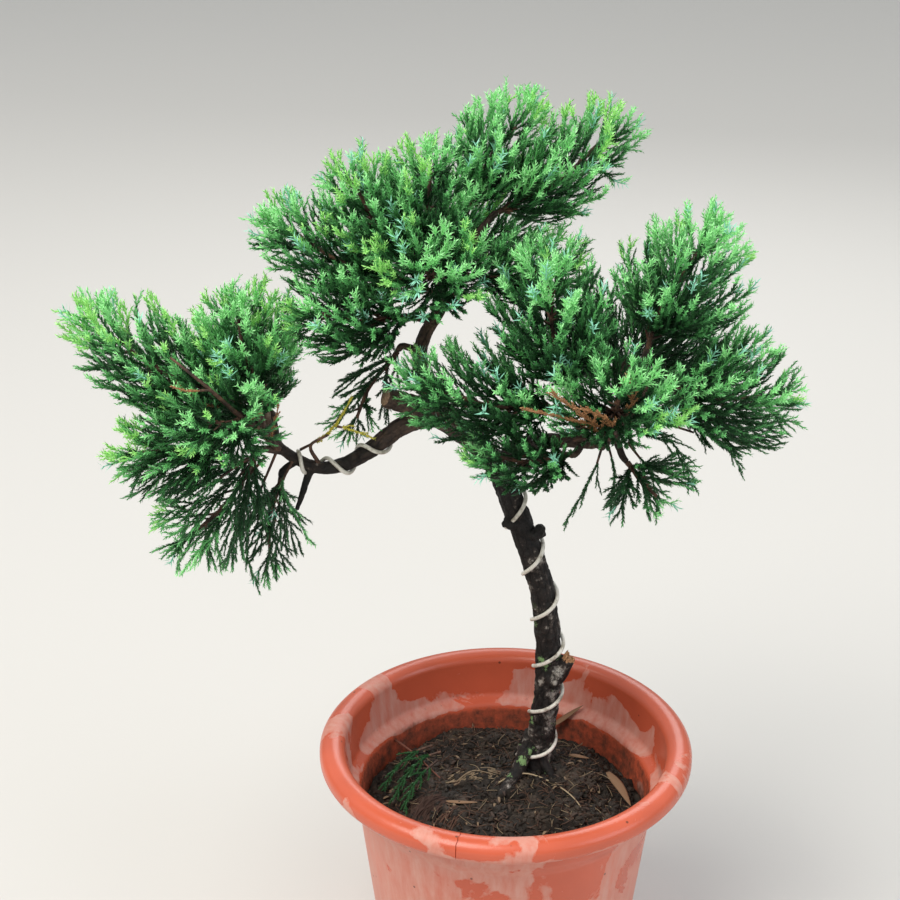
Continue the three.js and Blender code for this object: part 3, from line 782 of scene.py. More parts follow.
def pot_shell(crack_width):
    """The pot turned round its axis, with a jagged hairline crack sunk through its lip."""
    outline = pot_outline()
    even = np.arange(POT_COLUMNS) * 2 * np.pi / POT_COLUMNS
    even = even[np.abs((even - CRACK_ANGLE + np.pi) % (2 * np.pi) - np.pi) > CRACK_ROOM]
    crack = CRACK_ANGLE % (2 * np.pi) + np.array([-1, 0, 1]) * crack_width / 2 / RIM_RADIUS
    angles = np.sort(np.concatenate([even, crack]))
    is_crack = np.isin(angles, crack)
    is_bottom = angles == crack[1]
    rows = []
    inward = np.gradient(outline, axis=0)
    inward = unit(np.column_stack([-inward[:, 1], inward[:, 0]]))
    for (radius, height), normal in zip(outline[1:-1], inward[1:-1]):
        through_lip = height > LIP_BOTTOM - 1 and radius > RIM_RADIUS - LIP_WIDTH + 1
        jag = 0.006 * noise.noise(Vector((0.35 * radius, 0.35 * height, 3.0))) if through_lip else 0.0
        turn = angles + jag * is_crack
        fade = min(1, (height - LIP_BOTTOM + 1) / 6, (radius - RIM_RADIUS + LIP_WIDTH) / 6)
        sunk = CRACK_DEPTH * fade if through_lip else 0.0
        out = radius + sunk * normal[0] * is_bottom
        level = height + sunk * normal[1] * is_bottom
        rows.append(np.column_stack([out * np.cos(turn), out * np.sin(turn), level]))
    around = len(angles)
    points = np.vstack([*rows, (0, 0, outline[0][1]), (0, 0, outline[-1][1])])
    faces = []
    for row in range(len(rows) - 1):
        for i in range(around):
            j = (i + 1) % around
            low, high = row * around, (row + 1) * around
            faces.append([low + i, low + j, high + j, high + i])
    last = (len(rows) - 1) * around
    for i in range(around):
        j = (i + 1) % around
        faces.append([len(points) - 2, j, i])
        faces.append([len(points) - 1, last + i, last + j])
    return points, faces


def smooth_step(start, end, values):
    share = np.clip((values - start) / (end - start), 0, 1)
    return share * share * (3 - 2 * share)


def write_attribute(mesh, name, values):
    """One number at each vertex, which a material reads by its name."""
    attribute = mesh.attributes.new(name, "FLOAT", "POINT")
    attribute.data.foreach_set("value", np.asarray(values, np.float32))


def vertex_places(mesh):
    """A mesh's vertices in millimetres, and the normals there."""
    places = np.empty(3 * len(mesh.vertices), np.float32)
    normals = np.empty_like(places)
    mesh.vertices.foreach_get("co", places)
    mesh.vertex_normals.foreach_get("vector", normals)
    return places.reshape(-1, 3).astype(float) / MM, normals.reshape(-1, 3).astype(float)


def plastic_material(settings):
    """Injection-moulded polypropylene: glossy where it is wet, and chalky pink where it has dried."""
    material, tree, shader = new_material("moulded_polypropylene", IOR=1.49)
    place = object_place(tree)
    blotches = noise_at(tree, place, settings.blotch, 5.0, 0.45, 0.9)
    frayed = noise_at(tree, place, 6 * MM, 4.0, 0.6)
    spread = calculate(tree, "MULTIPLY_ADD", frayed, 0.11, attribute_of(tree, "dry"))
    dryness = calculate(tree, "ADD", blotches, spread)
    # The edge of a drying blotch is sharp, about 1 mm wide
    edge = ranged(tree, dryness, 1.04, 1.07, interpolation_type="SMOOTHSTEP")
    # A chalky film is thin in places, so that the orange shows through, and water has drawn it out into
    # streaks about 5 mm wide down the wall
    drawn_out = add_node(tree, "ShaderNodeMapping", {"Vector": place, "Scale": (1, 1, 0.22)})
    film = noise_at(tree, drawn_out, 7 * MM, 7.0, 0.66)
    dry_share = calculate(tree, "MULTIPLY", edge, ranged(tree, film, 0.3, 0.66, 0.22, 0.95))
    tint = noise_at(tree, place, 60 * MM, 2.0)
    wet_colour = shaded_colour(tree, settings.wet, ranged(tree, tint, low=0.75, high=1.3))
    colour = mix_colours(tree, dry_share, wet_colour, settings.dry)
    # Soil splashed on the wall, in drops of about 2 mm that run together towards the soil. Where they run
    # together on the inner wall below the ledge, near the soil, the dark is also painted shade.
    splashes = noise_at(tree, place, 7 * MM, 8.0, 0.7)
    splashed = calculate(tree, "ADD", splashes, attribute_of(tree, "mud_and_shade"))
    mud_and_shade_share = ranged(tree, splashed, 0.92, 1.25, 0.0, 0.9)
    mud_and_shade_mixed = mix_colours(tree, mud_and_shade_share, colour, settings.mud_and_shade)
    specks = add_node(tree, "ShaderNodeTexVoronoi", {"Vector": place, "Scale": 1 / (16 * MM)})
    speck = ranged(tree, specks, 0.045, 0.065, 0.75, 0.0)
    dirty = mix_colours(tree, speck, mud_and_shade_mixed, settings.mud_and_shade)
    dull = calculate(tree, "MAXIMUM", dry_share, mud_and_shade_share)
    # Fine scuffs and the mould's faint orange peel
    peel = noise_at(tree, place, 3 * MM, 5.0, 0.6)
    surface = {"Base Color": dirty, "Roughness": ranged(tree, dull, low=0.27, high=0.68)}
    feed(tree, shader, {**surface, "Normal": bumped(tree, peel, 0.22, 0.5 * MM)})
    return material


def make_pot(settings):
    shell = new_mesh("pot_turned", *pot_shell(settings.crack / MM))
    cutters = []
    for i in range(DRAIN_HOLES):
        turn = 2 * math.pi * (i + 0.5) / DRAIN_HOLES
        centre = np.array([DRAIN_CIRCLE * math.cos(turn), DRAIN_CIRCLE * math.sin(turn), 0])
        line = centre + np.outer([-6, 6], UP)
        cutters.append(tube(line, [DRAIN_RADIUS] * 2, 28))
    cutter = new_mesh("drain_cutter", *joined(cutters))
    cut = shell.modifiers.new("drain_holes", "BOOLEAN")
    cut.operation = "DIFFERENCE"
    cut.object = cutter
    pot = applied(shell, "plastic_pot")
    bpy.data.objects.remove(cutter)
    mesh = pot.data
    mesh.set_sharp_from_angle(angle=math.radians(50))
    places, normals = vertex_places(mesh)
    level = places[:, 2]
    outward = dot(normals[:, :2], unit(places[:, :2]))
    body = 1 - smooth_step(LIP_BOTTOM - 4, LIP_BOTTOM + 6, level)
    outer_wall = body * smooth_step(-0.1, 0.3, outward)
    inner_wall = body * smooth_step(0.1, 0.5, -outward)
    low = 1 - smooth_step(LEDGE_LEVEL - 4, LEDGE_LEVEL + 2, level)
    front_lip = (1 - body) * smooth_step(0.5, 0.9, -places[:, 1] / RIM_RADIUS)
    inner_dryness = INNER_WALL_DRYNESS + LOW_WALL_PAINTED_SHADE * low
    dryness = DRYNESS + OUTER_WALL_DRYNESS * outer_wall + inner_wall * inner_dryness
    write_attribute(mesh, "dry", dryness + FRONT_LIP_DRYNESS * front_lip)
    # The inner wall takes soil splashes all over, and more below the ledge near the soil, where they are
    # also painted shade
    near_soil = smooth_step(GROUND_LEVEL + 20, SOIL_EDGE_LEVEL, level)
    write_attribute(mesh, "mud_and_shade", inner_wall * (0.3 + 0.5 * near_soil * low))
    mesh.materials.append(plastic_material(settings))
    finish_piece(pot, "pot", "pot")


# Soil


def wall_radius_at(level):
    top = LEDGE_LEVEL - 2
    return mix(BASE_RADIUS - POT_WALL, LEDGE_RADIUS, (level - POT_FLOOR) / (top - POT_FLOOR))


def soil_lumps():
    """The middles of the soil's lumps and hollows, spread evenly in a spiral, and their heights."""
    random = seeded_random(5)
    order = np.arange(LUMP_COUNT)
    reach = LEDGE_RADIUS * np.sqrt((order + 0.5) / LUMP_COUNT)
    turn = order * GOLDEN_ANGLE
    heights = np.array([mix(-LUMP_HEIGHT, LUMP_HEIGHT, next(random)) for _ in order])
    return np.column_stack([reach * np.cos(turn), reach * np.sin(turn)]), heights


def soil_level_at(places):
    """The height of the ground at places (x, y), before its clods."""
    places = np.asarray(places, float)
    middles, heights = soil_lumps()
    away = np.linalg.norm(places[..., None, :] - middles, axis=-1) / LUMP_WIDTH
    relief = np.exp(-0.5 * away**2) @ heights
    from_trunk = np.linalg.norm(places - TRUNK_FOOT[:2], axis=-1)
    shoulder = mix(SOIL_CROWN_RADIUS, LEDGE_RADIUS, 0.6)
    radii = [0, SOIL_CROWN_RADIUS, shoulder, LEDGE_RADIUS]
    levels = [GROUND_LEVEL, GROUND_LEVEL, mix(GROUND_LEVEL, SOIL_EDGE_LEVEL, 0.55), SOIL_EDGE_LEVEL]
    mound = np.interp(np.linalg.norm(places, axis=-1), radii, levels)
    return mound + relief * smooth_step(*EVEN_GROUND, from_trunk)


def clod_height(x, y, clod, relief):
    """How far the soil stands out at a place: clods, hollows between them and a grain on top."""
    place = Vector((x / clod, y / clod, 0.0))
    distances = noise.voronoi(place + 0.6 * noise.noise_vector(0.7 * place))[0]
    hollow = math.exp(-9 * (distances[1] - distances[0]))
    grain = noise.fractal(place * 2.6, 0.7, 2.1, 4)
    return relief * (0.5 - 1.1 * hollow + 0.6 * grain)


SOIL_RINGS = 84
SOIL_COLUMNS = 210


def soil_body(clod, relief):
    """A mound with clods, down to the floor of the pot and closed there."""
    rings, columns = SOIL_RINGS, SOIL_COLUMNS
    edge = wall_radius_at(SOIL_EDGE_LEVEL) - 0.4
    radii = edge * (np.arange(1, rings + 1) / rings) ** 0.9
    turns = 2 * np.pi * np.arange(columns) / columns
    points = []
    for radius in radii:
        places = radius * np.column_stack([np.cos(turns), np.sin(turns)])
        for (x, y), ground in zip(places, soil_level_at(places)):
            points.append((x, y, ground + clod_height(x, y, clod, relief)))
    bottom = POT_FLOOR + GAP
    low = wall_radius_at(bottom) - 0.6
    points += [(low * math.cos(turn), low * math.sin(turn), bottom) for turn in turns]
    points += [(0, 0, GROUND_LEVEL + clod_height(0, 0, clod, relief)), (0, 0, bottom)]
    top, base = len(points) - 2, len(points) - 1
    faces = []
    for i in range(columns):
        j = (i + 1) % columns
        faces.append([top, i, j])
        faces.append([base, rings * columns + j, rings * columns + i])
        for row in range(rings):
            low_row, high_row = (row + 1) * columns, row * columns
            faces.append([high_row + i, low_row + i, low_row + j, high_row + j])
    return np.array(points), faces


def soil_material(settings):
    """Damp peaty potting soil: near black, with drier brown crumbs and a faint wet gleam."""
    material, tree, shader = new_material("damp_potting_soil", IOR=1.4)
    place = object_place(tree)
    patches = noise_at(tree, place, 18 * MM, 8.0, 0.72)
    stops = [(0.3, "15100d"), (0.5, settings.colour), (0.68, settings.pale), (0.8, "7a614b")]
    damp = noise_at(tree, place, 30 * MM, 3.0)
    grain = noise_at(tree, place, 1.6 * MM, 6.0, 0.7)
    surface = {
        "Base Color": colour_ramp(tree, patches, stops),
        "Roughness": ranged(tree, damp, 0.35, 0.65, 0.42, 0.95),
        "Normal": bumped(tree, grain, 0.8, 1.2 * MM),
    }
    feed(tree, shader, surface)
    return material


def plain_material(name, code, roughness):
    """A finish with one base colour, for small things that take their colours by the piece."""
    return new_material(name, Base_Color=linear(code), Roughness=roughness)[0]


def points_on_ground(tree, given):
    """Points scattered over the ground, on the faces that lie within a reach of the pot's axis."""
    place = add_node(tree, "GeometryNodeInputPosition")
    parts = add_node(tree, "ShaderNodeSeparateXYZ", {"Vector": place})
    flat = add_node(tree, "ShaderNodeCombineXYZ", {"X": parts.outputs["X"], "Y": parts.outputs["Y"]})
    away = add_node(tree, "ShaderNodeVectorMath", {0: flat}, operation="LENGTH").outputs["Value"]
    is_near = compared(tree, "LESS_THAN", away, given["Reach"])
    lowest = (SOIL_EDGE_LEVEL - 12) * MM
    is_high = compared(tree, "GREATER_THAN", parts.outputs["Z"], lowest)
    is_ground = add_node(tree, "FunctionNodeBooleanMath", {0: is_near, 1: is_high}, operation="AND")
    kept = {"Geometry": given["Geometry"], "Selection": is_ground}
    ground = add_node(tree, "GeometryNodeSeparateGeometry", kept, domain="FACE")
    inputs = {"Mesh": ground, "Density": given["Density"], "Seed": given["Seed"]}
    return add_node(tree, "GeometryNodeDistributePointsOnFaces", inputs)


def crumb_tree():
    """Geometry Nodes: loose crumbs, lying flat, scattered over the ground."""
    inputs = [
        ("Density", "Float", 1.0),
        ("Reach", "Float", 1.0),
        ("Size", "Float", 1.0),
        ("Seed", "Int", 0),
        ("Material", "Material", None),
    ]
    tree, given, result = new_tree("crumbs", inputs)
    points = points_on_ground(tree, given)
    lump = add_node(tree, "GeometryNodeMeshIcoSphere", {"Radius": 1.0, "Subdivisions": 1})
    turn = random_vectors(tree, (0, 0, 0), (0.6, 0.6, 6.28), 3)
    size = scaled(tree, random_vectors(tree, (0.12, 0.12, 0.1), (1, 0.8, 0.55), 5), given["Size"])
    lumps = placed_on(tree, points, lump, turn, size)
    real = add_node(tree, "GeometryNodeRealizeInstances", {"Geometry": lumps})
    return finish_tree(tree, real, given, result)


def fibre_tree():
    """Geometry Nodes: bent root fibres, lying every way over the ground."""
    inputs = [
        ("Density", "Float", 1.0),
        ("Reach", "Float", 1.0),
        ("Length", "Float", 0.02),
        ("Thickness", "Float", 0.0003),
        ("Seed", "Int", 0),
        ("Material", "Material", None),
    ]
    tree, given, result = new_tree("fibres", inputs)
    points = points_on_ground(tree, given)
    bend = {"Start": (-0.5, 0, -0.04), "Middle": (0.0, 0.22, 0.1), "End": (0.5, -0.05, -0.03)}
    arc = add_node(tree, "GeometryNodeCurveQuadraticBezier", {"Resolution": 5, **bend})
    turn = random_vectors(tree, (-0.25, -0.25, 0), (0.25, 0.25, 6.28), 8)
    size = scaled(tree, random_vectors(tree, (0.3, -1, 0.3), (1, 1, 0.8), 9), given["Length"])
    arcs = placed_on(tree, points, arc, turn, size)
    real = add_node(tree, "GeometryNodeRealizeInstances", {"Geometry": arcs})
    profile = {"Resolution": 3, "Radius": given["Thickness"]}
    round_profile = add_node(tree, "GeometryNodeCurvePrimitiveCircle", profile)
    paths = {"Curve": real, "Profile Curve": round_profile, "Fill Caps": True}
    threads = add_node(tree, "GeometryNodeCurveToMesh", paths)
    return finish_tree(tree, threads, given, result)


# Root fibres: a name, a colour, their share of all of them, their length, half their width, and a seed
FIBRES = [
    ("pale_fibres", "85735a", 0.22, 24 * MM, 0.24 * MM, 2),
    ("brown_fibres", "4d3527", 0.78, 18 * MM, 0.34 * MM, 3),
]


def make_soil(settings):
    noise.seed_set(NOISE_SEED)
    soil = new_mesh("potting_soil", *soil_body(settings.clod / MM, settings.relief / MM))
    soil.data.materials.append(soil_material(settings))
    per_metre = 100.0  # square decimetres in a square metre
    edge = (LEDGE_RADIUS - 4) * MM
    crumb = run_tree(
        copy_of(soil),
        crumb_tree(),
        "soil_crumbs",
        density=settings.crumbs * per_metre,
        reach=edge - settings.crumb,
        size=settings.crumb,
        seed=1,
        material=soil.data.materials[0],
    )
    finish_piece(crumb, "soil")
    fibres = fibre_tree()
    for name, code, share, length, thickness, seed in FIBRES:
        threads = run_tree(
            copy_of(soil),
            fibres,
            name,
            density=settings.fibres * share * per_metre,
            reach=edge - 0.6 * length,
            length=length,
            thickness=thickness,
            seed=seed,
            material=plain_material(name + "_root", code, 0.8),
        )
        finish_piece(threads, "soil")
    finish_piece(soil, "soil", "soil")


# Litter on the soil


def blade(points, width, thickness):
    """A dead leaf: a thin solid that widens from its foot and comes to a point."""
    line = Curve(points)
    shares = np.linspace(0, 1, 11)
    widths = width * np.sin(np.pi * (0.06 + 0.94 * shares) ** 0.8) ** 0.8 + 0.2
    return tube(line.at(shares), widths, 8, flat=thickness / width)


def long_litter():
    """What lies on the soil and shows by itself: a stick, a pale root and dead leaves."""
    stick = Curve([(-76, 60, 153), (-62, 36, 157), (-44, 5, 158)])
    root = Curve([(-10, -4, 157), (10, 3, 163), (28, 1, 159.5), (46, -17, 157), (58, -42, 149)])
    shares = np.linspace(0, 1, 22)
    yield "fallen_stick", "6b4032", [tube(stick.at(shares), mix(1.0, 0.5, shares), 6)]
    yield "pale_root", "a99678", [tube(root.at(shares), mix(0.7, 0.35, shares), 5)]
    leaves = [
        blade([(72, 20, 153), (79, 4, 152), (85, -13, 148)], 3.4, 0.5),
        blade([(36, 80, 152), (47, 84, 158), (59, 83, 168)], 3.0, 0.5),
        blade([(-12, -60, 151), (-2, -48, 154), (7, -35, 156)], 2.1, 0.4),
        blade([(-40, -22, 158), (-30, -26, 160), (-18, -24, 158.5)], 1.6, 0.4),
        blade([(46, 34, 158), (52, 30, 159.5), (60, 31, 157)], 1.8, 0.5),
    ]
    yield "dead_leaves", "7d6046", leaves


# Bundles of fibres on the soil: a name, a colour, where they run, half their width, how many fibres
# they have and how thick these are
BUNDLES = [
    ("coir_bundle", "432e25", [(-42, -14), (-57, -27), (-66, -46)], 9.0, 90, 0.42),
    ("coir_scraps", "5c4133", [(-28, -30), (-40, -42), (-46, -58)], 8.0, 26, 0.42),
    ("straw_tangle", "8b7860", [(-36, 4), (-18, 11), (3, 6)], 6.5, 16, 0.5),
]


STRAND_STEPS = 8
LITTER_REACH = 88.0  # from the pot's axis


def bundle(chance, course, width, count, girth):
    """Fibres that run side by side over the ground in a low heap, each a little astray."""
    steps = np.linspace(0, 1, STRAND_STEPS)
    for _ in range(count):
        aside = width * chance.uniform(-1, 1, 2)
        start, end = chance.uniform(0, 0.25), chance.uniform(0.7, 1)
        run = np.linspace(start, end, STRAND_STEPS)
        places = Curve([(x, y, 0) for x, y in course]).at(run)[:, :2]
        astray = Curve(np.hstack([chance.normal(0, 0.2 * width, (4, 2)), np.zeros((4, 1))]))
        places = places + aside + astray.at(steps)[:, :2]
        heap = 0.45 * width * max(0, 1 - (aside @ aside) / width**2)
        arch = np.sin(np.pi * np.linspace(0.08, 0.92, STRAND_STEPS))
        levels = soil_level_at(places) + 1.2 + heap * chance.uniform(0.3, 1) * arch
        yield tube(np.column_stack([places, levels]), girth * np.linspace(1, 0.6, STRAND_STEPS), 4)


def scattered_litter(chance, count):
    """Scraps of dead leaf and bark, lying on the soil."""
    for _ in range(count):
        turn, away = 2 * math.pi * chance.random(), LITTER_REACH * math.sqrt(chance.random())
        lie = 2 * math.pi * chance.random()
        length = chance.uniform(2.5, 8)
        place = (away * math.cos(turn), away * math.sin(turn))
        middle = np.array([*place, soil_level_at(place) + 1.6])
        reach = 0.5 * length * np.array([math.cos(lie), math.sin(lie), chance.uniform(-0.25, 0.25)])
        arch = np.array([0, 0, chance.uniform(0.2, 1.6)])
        yield blade([middle - reach, middle + arch, middle + reach], chance.uniform(0.35, 1.0), 0.2)


def litter_piece(name, code, roughness, parts):
    piece = new_mesh(name, *joined(list(parts)))
    piece.data.materials.append(plain_material(name + "_dry", code, roughness))
    finish_piece(piece, "soil")


def make_litter():
    chance = np.random.default_rng(21)
    for name, code, parts in long_litter():
        litter_piece(name, code, 0.75, parts)
    for name, code, course, width, count, girth in BUNDLES:
        litter_piece(name, code, 0.85, bundle(chance, course, width, count, girth))
    for name, code, count in [("bark_scraps", "3d2e25", 170), ("leaf_scraps", "7c6750", 60)]:
        litter_piece(name, code, 0.8, scattered_litter(chance, count))


# Trunk, boughs and limbs


def ball(centre, size):
    """A lump as a closed tube whose radius swells and shrinks like a ball's."""
    shares = np.linspace(-0.97, 0.97, 9)
    return tube(centre + np.outer(size * shares, UP), size * np.sqrt(1 - shares**2), 12)


def burr(centre, size, chance):
    """A knobbly lump: several small balls about one centre."""
    for _ in range(6):
        place = centre + 0.5 * size * unit(chance.normal(size=3)) * [0.8, 0.8, 1.3]
        yield ball(place, size * chance.uniform(0.4, 0.68))


FIRST_ROOT_ANGLE = math.radians(200)


def surface_roots():
    """Roots that leave the foot of the trunk and run down into the soil."""
    random = seeded_random(11)
    foot = np.array([TRUNK_FOOT[0], TRUNK_FOOT[1], GROUND_LEVEL])
    for i in range(ROOT_COUNT):
        turn = 2 * math.pi * (i + 0.5 * next(random)) / ROOT_COUNT + FIRST_ROOT_ANGLE
        reach, height = mix(16, 24, next(random)), mix(16, 28, next(random))
        outward = np.array([math.cos(turn), math.sin(turn), 0])
        points = [
            foot + height * UP + 2 * outward,
            foot + 8 * UP + 0.5 * reach * outward,
            foot - 6 * UP + reach * outward,
        ]
        yield Limb(points, tapering(4.2, 3))


STUB_POINTS = [(28, 22, 223), (36, 20, 232), (42, 18, 244)]
FRONT_ROOT_POINTS = [(15, 15, 176), (9, 6, 164), (1, -6, 159), (-6, -18, 152)]
DEAD_SPUR_POINTS = [(-124, 2, 393), (-127, 1, 386), (-130, -3, 377), (-134, -6, 366)]
TORN_RADIUS = 4.0
SPLINTERS = 60
LONGEST_SPLINTER = 7.0
# Lumps on the wood: a middle and a radius
BURRS = [
    ((0.5, 12, 349), 5.2),
    ((20, 15, 340), 5.6),
    ((34, 15, 230), 6.6),
    ((39, 19, 240), 4.6),
    ((37, 26, 233), 4.8),
    ((30.5, 13.5, 205), 3.0),
    ((31, 14.5, 262), 2.6),
    ((57, -9, 414), 5.6),
    ((60, -4, 421), 4.6),
    ((-98, 4, 395), 4.8),
    ((-146, -1, 409), 4.6),
    ((-56, 22, 447), 5.6),
]


def wood_limbs():
    """Every limb that the bark covers."""
    stub = Limb(STUB_POINTS, tapering(7.4, 4.8))
    spur = Limb(DEAD_SPUR_POINTS, tapering(3.2, 1.4))
    root = Limb(FRONT_ROOT_POINTS, tapering(5.2, 3.0))
    grown = [mass.limb for mass in masses.values() if mass.limb]
    return [trunk, stub, spur, root, *surface_roots(), *boughs.values(), *grown]


def relief_of(x, y, along, plate):
    """Bark's relief from -1 to about 1, at a place across and along a limb: cracks between long
    plates, fibres that run with the limb, and lumps."""
    stretched = Vector((x / plate, y / plate, along / (2.6 * plate)))
    warped = stretched + 0.45 * noise.noise_vector(0.8 * stretched)
    distances = noise.voronoi(warped)[0]
    crack = math.exp(-7 * (distances[1] - distances[0]))
    fibre = noise.fractal(Vector((x / 1.3, y / 1.3, along / 9)), 0.6, 2.0, 3)
    lump = noise.noise(Vector((x / 9, y / 9, along / 14)))
    return 0.45 - crack + 0.45 * fibre + 0.7 * lump


def carve_bark(mesh, limbs, plate, depth):
    """Moves a mesh's vertices along their normals by the bark's relief, less on thin limbs."""
    samples = []
    for limb in limbs:
        shares, points, radii = limb.sampled(1.5)
        along = limb.curve.along(shares)
        side, other = square_to(along, sideways_of(points[-1] - points[0]))
        run = np.linspace(0, limb.curve.length, len(points))
        samples += list(zip(points, along, side, other, run, radii))
    tree = kdtree.KDTree(len(samples))
    for i, sample in enumerate(samples):
        tree.insert(sample[0], i)
    tree.balance()
    places, normals = vertex_places(mesh)
    relief = np.empty(len(places))
    thickness = np.empty(len(places))
    for i, place in enumerate(places):
        _, nearest, _ = tree.find(place)
        centre, along, side, other, run, radius = samples[nearest]
        away = place - centre
        relief[i] = relief_of(away @ side, away @ other, run + away @ along, plate)
        thickness[i] = radius
    strength = depth * np.clip(thickness / TRUNK_RADIUS, 0.3, 1.1)
    moved = places + normals * (relief * strength)[:, None]
    mesh.vertices.foreach_set("co", (moved * MM).astype(np.float32).ravel())
    mesh.update()
    write_attribute(mesh, "relief", relief)


def bark_material(settings):
    """Juniper bark: nearly black and damp on the trunk, weathered to grey in patches, with lichen near
    the foot, and browner and drier on the boughs."""
    material, tree, shader = new_material("juniper_bark", IOR=1.42)
    place = object_place(tree)
    height = add_node(tree, "ShaderNodeSeparateXYZ", {"Vector": place}).outputs["Z"]
    patches = noise_at(tree, place, 13 * MM, 8.0, 0.72)
    # The top of the trunk, from about 0.34 m up, has fewer of the grey patches, so it is darker
    fewer = ranged(tree, height, 0.3, 0.34, 0.0, -0.07)
    weathered = calculate(tree, "ADD", patches, fewer)
    trunk_stops = [(0.44, settings.dark), (0.53, "28221f"), (0.57, "5a534d"), (0.61, settings.grey)]
    bark = colour_ramp(tree, weathered, trunk_stops)
    # The boughs are drier and browner than the trunk, from about 0.4 m up
    dry = ranged(tree, height, 0.385, 0.43, interpolation_type="SMOOTHSTEP")
    bough_stops = [(0.38, "2b211c"), (0.5, settings.brown), (0.62, "6f5a4b"), (0.74, "8b7a6b")]
    both = mix_colours(tree, dry, bark, colour_ramp(tree, patches, bough_stops))
    # The relief paints the cracks darker and the plates lighter: painted shade in the cracks and painted
    # light on the plates
    crack_shade_and_plate_light = ranged(tree, attribute_of(tree, "relief"), -0.6, 0.5, 0.35, 1.15)
    shaded = shaded_colour(tree, both, crack_shade_and_plate_light)
    # Crusts of lichen 3 to 8 mm across, on the lowest 110 mm of the trunk
    crusts = add_node(tree, "ShaderNodeTexVoronoi", {"Vector": place, "Scale": 1 / (13 * MM)})
    frayed = noise_at(tree, place, 2.2 * MM, 4.0, 0.7)
    edge = calculate(tree, "SUBTRACT", frayed, crusts.outputs["Distance"])
    low = ranged(tree, height, 0.25, 0.29, 1.0, 0.0)
    lichen = calculate(tree, "MULTIPLY", ranged(tree, edge, 0.27, 0.36), low)
    # Flakes and fibres about 1 mm wide
    flakes = noise_at(tree, place, 1.8 * MM, 6.0, 0.68)
    surface = {
        "Base Color": mix_colours(tree, lichen, shaded, linear("7da068")),
        "Roughness": ranged(tree, patches, 0.35, 0.6, 0.5, 0.88),
        "Normal": bumped(tree, flakes, 0.9, 1.1 * MM),
    }
    feed(tree, shader, surface)
    return material


def cut_wood_material(name, core, ring):
    """Bare juniper wood, with growth rings about 1 mm apart darkening its pale grain."""
    material, tree, shader = new_material(name, IOR=1.5, Roughness=0.7)
    wave = {"Scale": 320, "Distortion": 6.0, "Detail": 4.0, "Detail Scale": 2.0}
    rings = add_node(tree, "ShaderNodeTexWave", {"Vector": object_place(tree), **wave})
    feed(tree, shader, {"Base Color": mix_colours(tree, rings, linear(ring), linear(core))})
    return material


def broken_wood(chance):
    """The torn end of the low stub: splinters of every length, longest on its upper side."""
    line = Curve(STUB_POINTS)
    end, along = line.at(1.0), line.along(1.0)
    side, other = square_to(along, UP)
    yield tube([end - 2 * along, end + 0.3 * along], [TORN_RADIUS + 0.1, TORN_RADIUS - 0.4], 10)
    for _ in range(SPLINTERS):
        turn, away = 2 * math.pi * chance.random(), TORN_RADIUS * math.sqrt(chance.random())
        out = math.cos(turn) * side + math.sin(turn) * other
        upper = max(0.0, float(out @ np.array([-0.5, 0.0, 0.85])))
        longest = LONGEST_SPLINTER * upper * (away / TORN_RADIUS)
        height = chance.uniform(0.4, 2.4) + longest * chance.random()
        foot = end + away * out - along
        tip = foot + (height + 1) * along + chance.uniform(-0.3, 0.5) * out
        width = chance.uniform(0.5, 1.0)
        yield tube([foot, mix(foot, tip, 0.7), tip], [width, 0.8 * width, 0.15], 4)


def make_wood(settings):
    noise.seed_set(NOISE_SEED)
    limbs = wood_limbs()
    parts = []
    for limb in limbs:
        _, points, radii = limb.sampled(2.0)
        parts.append(tube(points, radii, 20, point=0.05))
    chance = np.random.default_rng(12)
    for centre, size in BURRS:
        parts += burr(np.array(centre), size, chance)
    rough = new_mesh("wood_rough", *joined(parts))
    skin = rough.modifiers.new("one_skin", "REMESH")
    skin.mode = "VOXEL"
    skin.voxel_size = settings.voxel
    soft = rough.modifiers.new("soft_joins", "SMOOTH")
    soft.factor = 0.5
    soft.iterations = 4
    wood = applied(rough, "bark_skin")
    carve_bark(wood.data, limbs, settings.plate / MM, settings.relief / MM)
    wood.data.shade_smooth()
    wood.data.materials.clear()
    wood.data.materials.append(bark_material(settings))
    covered = [f"limb_{name}" for name, mass in masses.items() if mass.limb]
    finish_piece(wood, "bark", "trunk", "bough_left", "bough_top", "bough_right", *covered)

    torn = new_mesh("torn_wood", *joined(list(broken_wood(np.random.default_rng(4)))), smooth=False)
    torn.data.materials.append(cut_wood_material("torn_juniper_wood", "c29a72", "94643f"))
    finish_piece(torn, "bark")

    end, along = trunk.curve.at(1.0), trunk.curve.along(1.0)
    face = TRUNK_TOP_RADIUS - 1.2
    line = [end - 3 * along, end + 0.7 * along]
    sawn = new_mesh("sawn_end", *tube(line, [face, face], 24, point=0.05))
    sawn.data.materials.append(cut_wood_material("sawn_juniper_wood", "a58a70", "7d5f4a"))
    finish_piece(sawn, "bark")


# Training wire


STEPS_PER_TURN = 40


def wire_line(limb, wire_radius, pitch, start, end, first_turn):
    """A helix that lies on the bark, from one share of the limb's length to another."""
    turns = (end - start) * limb.curve.length / pitch
    steps = round(turns * STEPS_PER_TURN)
    shares = limb.curve.by_length(np.linspace(start, end, steps + 1))
    along = limb.curve.along(shares)
    side, other = square_to(along, BACK)
    turn = math.radians(first_turn) + np.linspace(0, 2 * np.pi * turns, steps + 1)
    out = np.cos(turn)[:, None] * side - np.sin(turn)[:, None] * other
    slack = 0.25 * np.sin(2.3 * turn)  # a hand-wound wire doesn't lie quite true
    radius = limb.radius_at(shares) + wire_radius + GAP + slack
    return limb.curve.at(shares) + radius[:, None] * out


